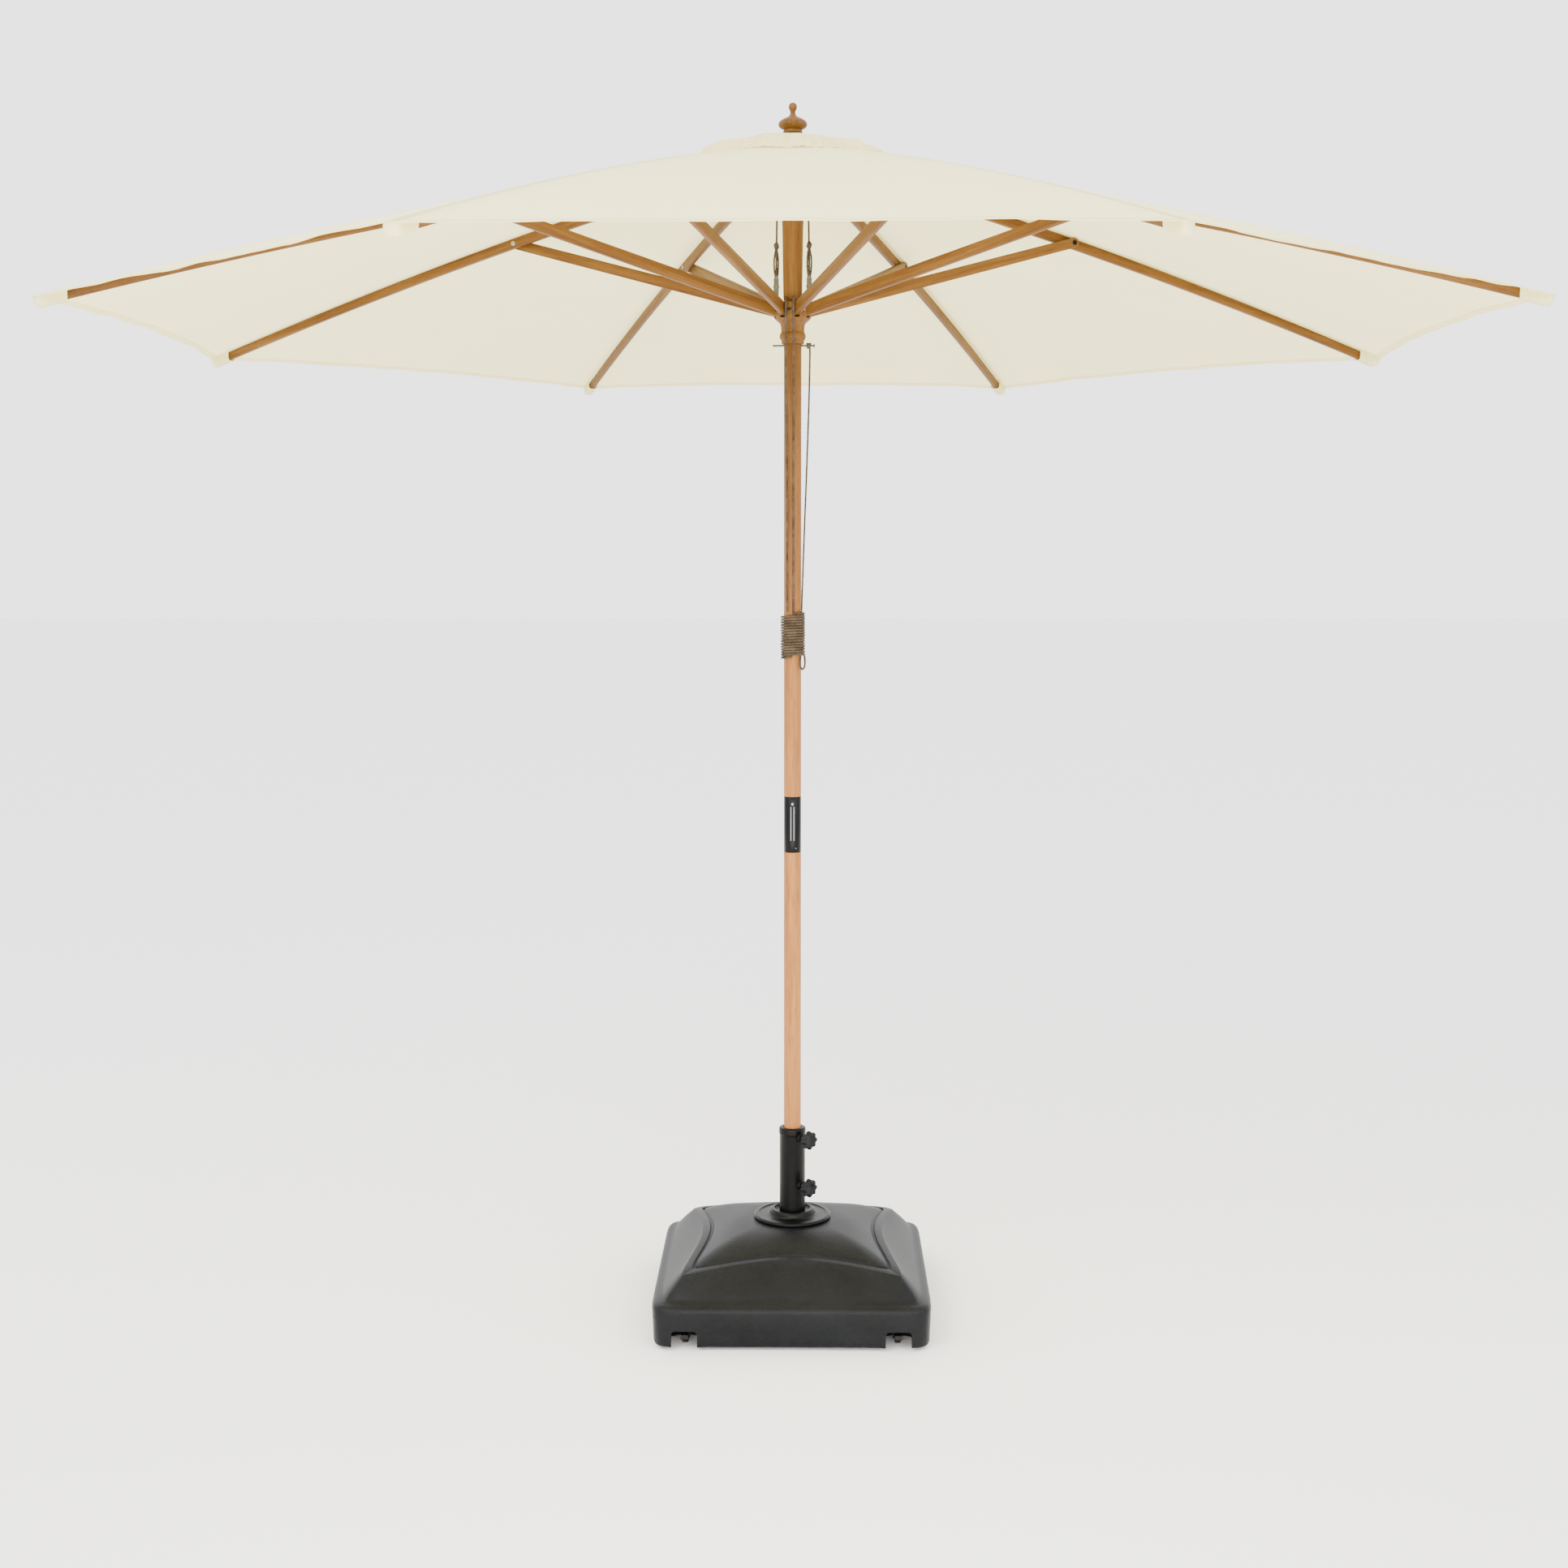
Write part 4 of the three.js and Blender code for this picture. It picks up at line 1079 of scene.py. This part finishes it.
for side, x in (("left", -14.2), ("right", 2.2)):
    line = curve_points(fall_points(x), 1.5)
    piece = rope(f"fall_{side}", line, ROPE_R, "mast", f"fall_rope_{side}")

wrap_line = []
for i in range(1600):
    t = i / 1599
    a = -math.pi / 2 + 2 * math.pi * WRAP_TURNS * t
    z = WRAP_HIGH - 3.4 - (WRAP_HIGH - WRAP_LOW - 7) * t
    bulge = 1.2 * noise.noise(Vector((math.cos(a) * 2, math.sin(a) * 2, z * 0.05)))
    z += 2.6 * math.cos(a + 0.5) + 0.2 * noise.noise(Vector((a * 0.35, 4.4, 0)))
    r = POLE_R + ROPE_R + 1.7 + bulge + 2.2 * max(0.0, math.cos(a + 0.6)) ** 2
    wrap_line.append((r * math.cos(a), r * math.sin(a), z))
wrap_line = np.array(wrap_line)
wrap = rope("rope_turns", wrap_line, WRAP_R, "mast", "rope_wrap", sides=12)
tail_line = curve_points([(21, -15, 1436), (25, -17, 1426), (26.5, -17, 1412), (25, -17.5, 1401),
                          (20.5, -19, 1397), (16.5, -20, 1403), (16.2, -20.2, 1414),
                          (17.5, -20.5, 1426)], 1.2)
tail = rope("rope_tail", tail_line, ROPE_R * 0.9, "mast", None, sides=12)


def ball(centre, size, squash=1.0):
    """A rope knot's lump: a bumpy ball."""
    rows, around = 10, 18
    verts = []
    for i in range(rows + 1):
        b = math.pi * i / rows - math.pi / 2
        for j in range(around):
            a = 2 * math.pi * j / around
            lump = 1 + 0.14 * math.sin(3 * a + 4 * b)
            verts.append((centre[0] + size * lump * math.cos(b) * math.cos(a),
                          centre[1] + size * lump * math.cos(b) * math.sin(a),
                          centre[2] + size * squash * math.sin(b)))
    return verts, grid(rows, around)


for side, angle in (("right", 0), ("left", math.pi)):
    foot = RUNNER_LOW + 84.4
    hoist = [(BLOCK_X, -MID_GAP, foot + 54 + ROPE_R), (BLOCK_X, -MID_GAP, 2245), (33.5, 0, 2310),
             (32.4, MID_GAP - 0.6, 2372), (32.2, MID_GAP, 2396)]
    line = curve_points(spun(hoist, angle), 1.5)
    piece = rope(f"hoist_{side}", line, HOIST_R, None, f"hoist_rope_{side}")
    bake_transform(piece)
    verts, faces = ball((BLOCK_X - 0.2, -MID_GAP + 1, 2280), 5.4, 1.6)
    knot = make(f"knot_{side}", spun(verts, angle), faces, ROPE)
    loop = curve_points(spun([(BLOCK_X, -MID_GAP - 2, 2278), (BLOCK_X - 3.8, -MID_GAP - 2.6, 2256),
                              (BLOCK_X - 3.4, -MID_GAP - 2, 2226), (BLOCK_X, -MID_GAP - 0.5, 2212.5),
                              (BLOCK_X + 3.8, -MID_GAP + 2, 2228), (BLOCK_X + 4.2, -MID_GAP + 2.4, 2254),
                              (BLOCK_X, -MID_GAP + 2, 2278)], angle), 1.5)
    strop = rope(f"becket_loop_{side}", loop, 2.0, "runner", None, lay_length=7.0, sides=12)
    place(knot, "runner")

    parts = [rod_mesh(2.0, (BLOCK_X, -MID_GAP, foot), (BLOCK_X, -MID_GAP, foot + 15), 20)]
    eye = [(x, -MID_GAP, z) for x, z in arc((BLOCK_X, foot + 7), 4.3, 4.8, 0, 2 * math.pi, 28)[:-1]]
    for p, q in zip(eye, eye[1:] + eye[:1]):
        parts.append(rod_mesh(1.25, p, q, 10))
    parts.append(rod_mesh(3.6, (BLOCK_X, -MID_GAP, foot + 11.5), (BLOCK_X, -MID_GAP, foot + 14.6), 28))
    outline = arc((BLOCK_X, foot + 49), 5.4, 6.4, 0, math.pi, 12)
    outline += arc((BLOCK_X, foot + 20), 5.4, 6.4, math.pi, math.pi, 12)
    for y0, y1 in ((-3.9, -2.9), (2.9, 3.9)):
        parts.append(prism(outline, -MID_GAP + y0, -MID_GAP + y1))
    verts, faces = joined([rod_mesh(2.1, (BLOCK_X, -MID_GAP - 5.2, z), (BLOCK_X, -MID_GAP + 5.2, z), 18)
                           for z in (foot + 17, foot + 34, foot + 51)])
    rivets = make(f"block_rivets_{side}", spun(verts, angle), faces, BRIGHT, 40)
    place(rivets, "runner")
    verts, faces = joined(parts)
    shell = make(f"pulley_block_{side}", spun(verts, angle), faces, CHROME, 40)
    place(shell, "runner", f"block_{side}")

pin_line = curve_points([(36, 0, LOCK_PIN_Z - 5.5), (36, -0.5, LOCK_PIN_Z - 30), (34, -3, 1950),
                         (29, -8, 1800), (23.5, -12, 1650), (19.2, -14, WRAP_HIGH + 0.4)], 1.5)
pin_rope = rope("pin_lanyard", pin_line, LANYARD_R, "mast", "pin_cord")

# ---------------------------------------------------------------- small hardware
for name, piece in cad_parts.items():
    if name.startswith(("block_sheave", "hub_sheave")):
        repainted(piece, CHROME)
pin_parts = [rod_mesh(2.2, (-42, 0, LOCK_PIN_Z), (44, 0, LOCK_PIN_Z), 24),
             rod_mesh(3.3, (43.6, 0, LOCK_PIN_Z), (46.8, 0, LOCK_PIN_Z), 24)]
pin = make("pin_rod", *joined(pin_parts), CHROME, 40)
bevelled(pin, 0.5)
place(pin, "lock_pin", "lock_pin")
coil = []
for i in range(120):
    a = 2 * math.pi * 3.2 * i / 119 + math.pi / 2
    coil.append((30 + 7.5 * i / 119, 4.3 * math.cos(a), LOCK_PIN_Z + 4.3 * math.sin(a)))
hitch = rope("pin_hitch", np.array(coil), LANYARD_R, "lock_pin", None, lay_length=7.0, sides=12)

# ---------------------------------------------------------------- stage, light and camera
FLOOR_HALF, FLOOR_Z = 60000, -0.4
corners = [(x * FLOOR_HALF, y * FLOOR_HALF, FLOOR_Z) for x, y in ((-1, -1), (1, -1), (1, 1), (-1, 1))]
floor = make("floor", corners, [(0, 1, 2, 3)], coated("floor_paint", (0.93, 0.93, 0.93), 0.95, 0.05))

world = bpy.data.worlds.new("studio")
bpy.context.scene.world = world
world.use_nodes = True
world.node_tree.nodes["Background"].inputs["Color"].default_value = (1.0, 1.0, 1.0, 1)
world.node_tree.nodes["Background"].inputs["Strength"].default_value = 3.0


def area_light(name, spot, aim, size, power, colour=(1, 1, 1)):
    data = bpy.data.lights.new(name, "AREA")
    data.shape = "SQUARE"
    data.size = size
    data.energy = power
    data.color = colour
    lamp = into_scene(name, data)
    lamp.location = spot
    lamp.rotation_euler = (Vector(aim) - Vector(spot)).to_track_quat("-Z", "Y").to_euler()


area_light("key", (-3.2, -4.2, 5.0), (0, 0, 1.6), 2.6, 300)
area_light("fill", (3.8, -3.6, 3.0), (0, 0, 1.2), 3.0, 110)
area_light("low", (0, -2.6, 0.6), (0, 0.2, 2.3), 2.4, 150, (1.0, 0.95, 0.86))

camera_data = bpy.data.cameras.new("camera")
camera_data.sensor_width = 36.0
camera_data.lens = 47.14
camera = into_scene("camera", camera_data)
camera.location = (0.0308, -4.3833, 1.615)
camera.rotation_euler = (math.pi / 2 - 0.1058, 0.0, 0.0112)
bpy.context.scene.camera = camera
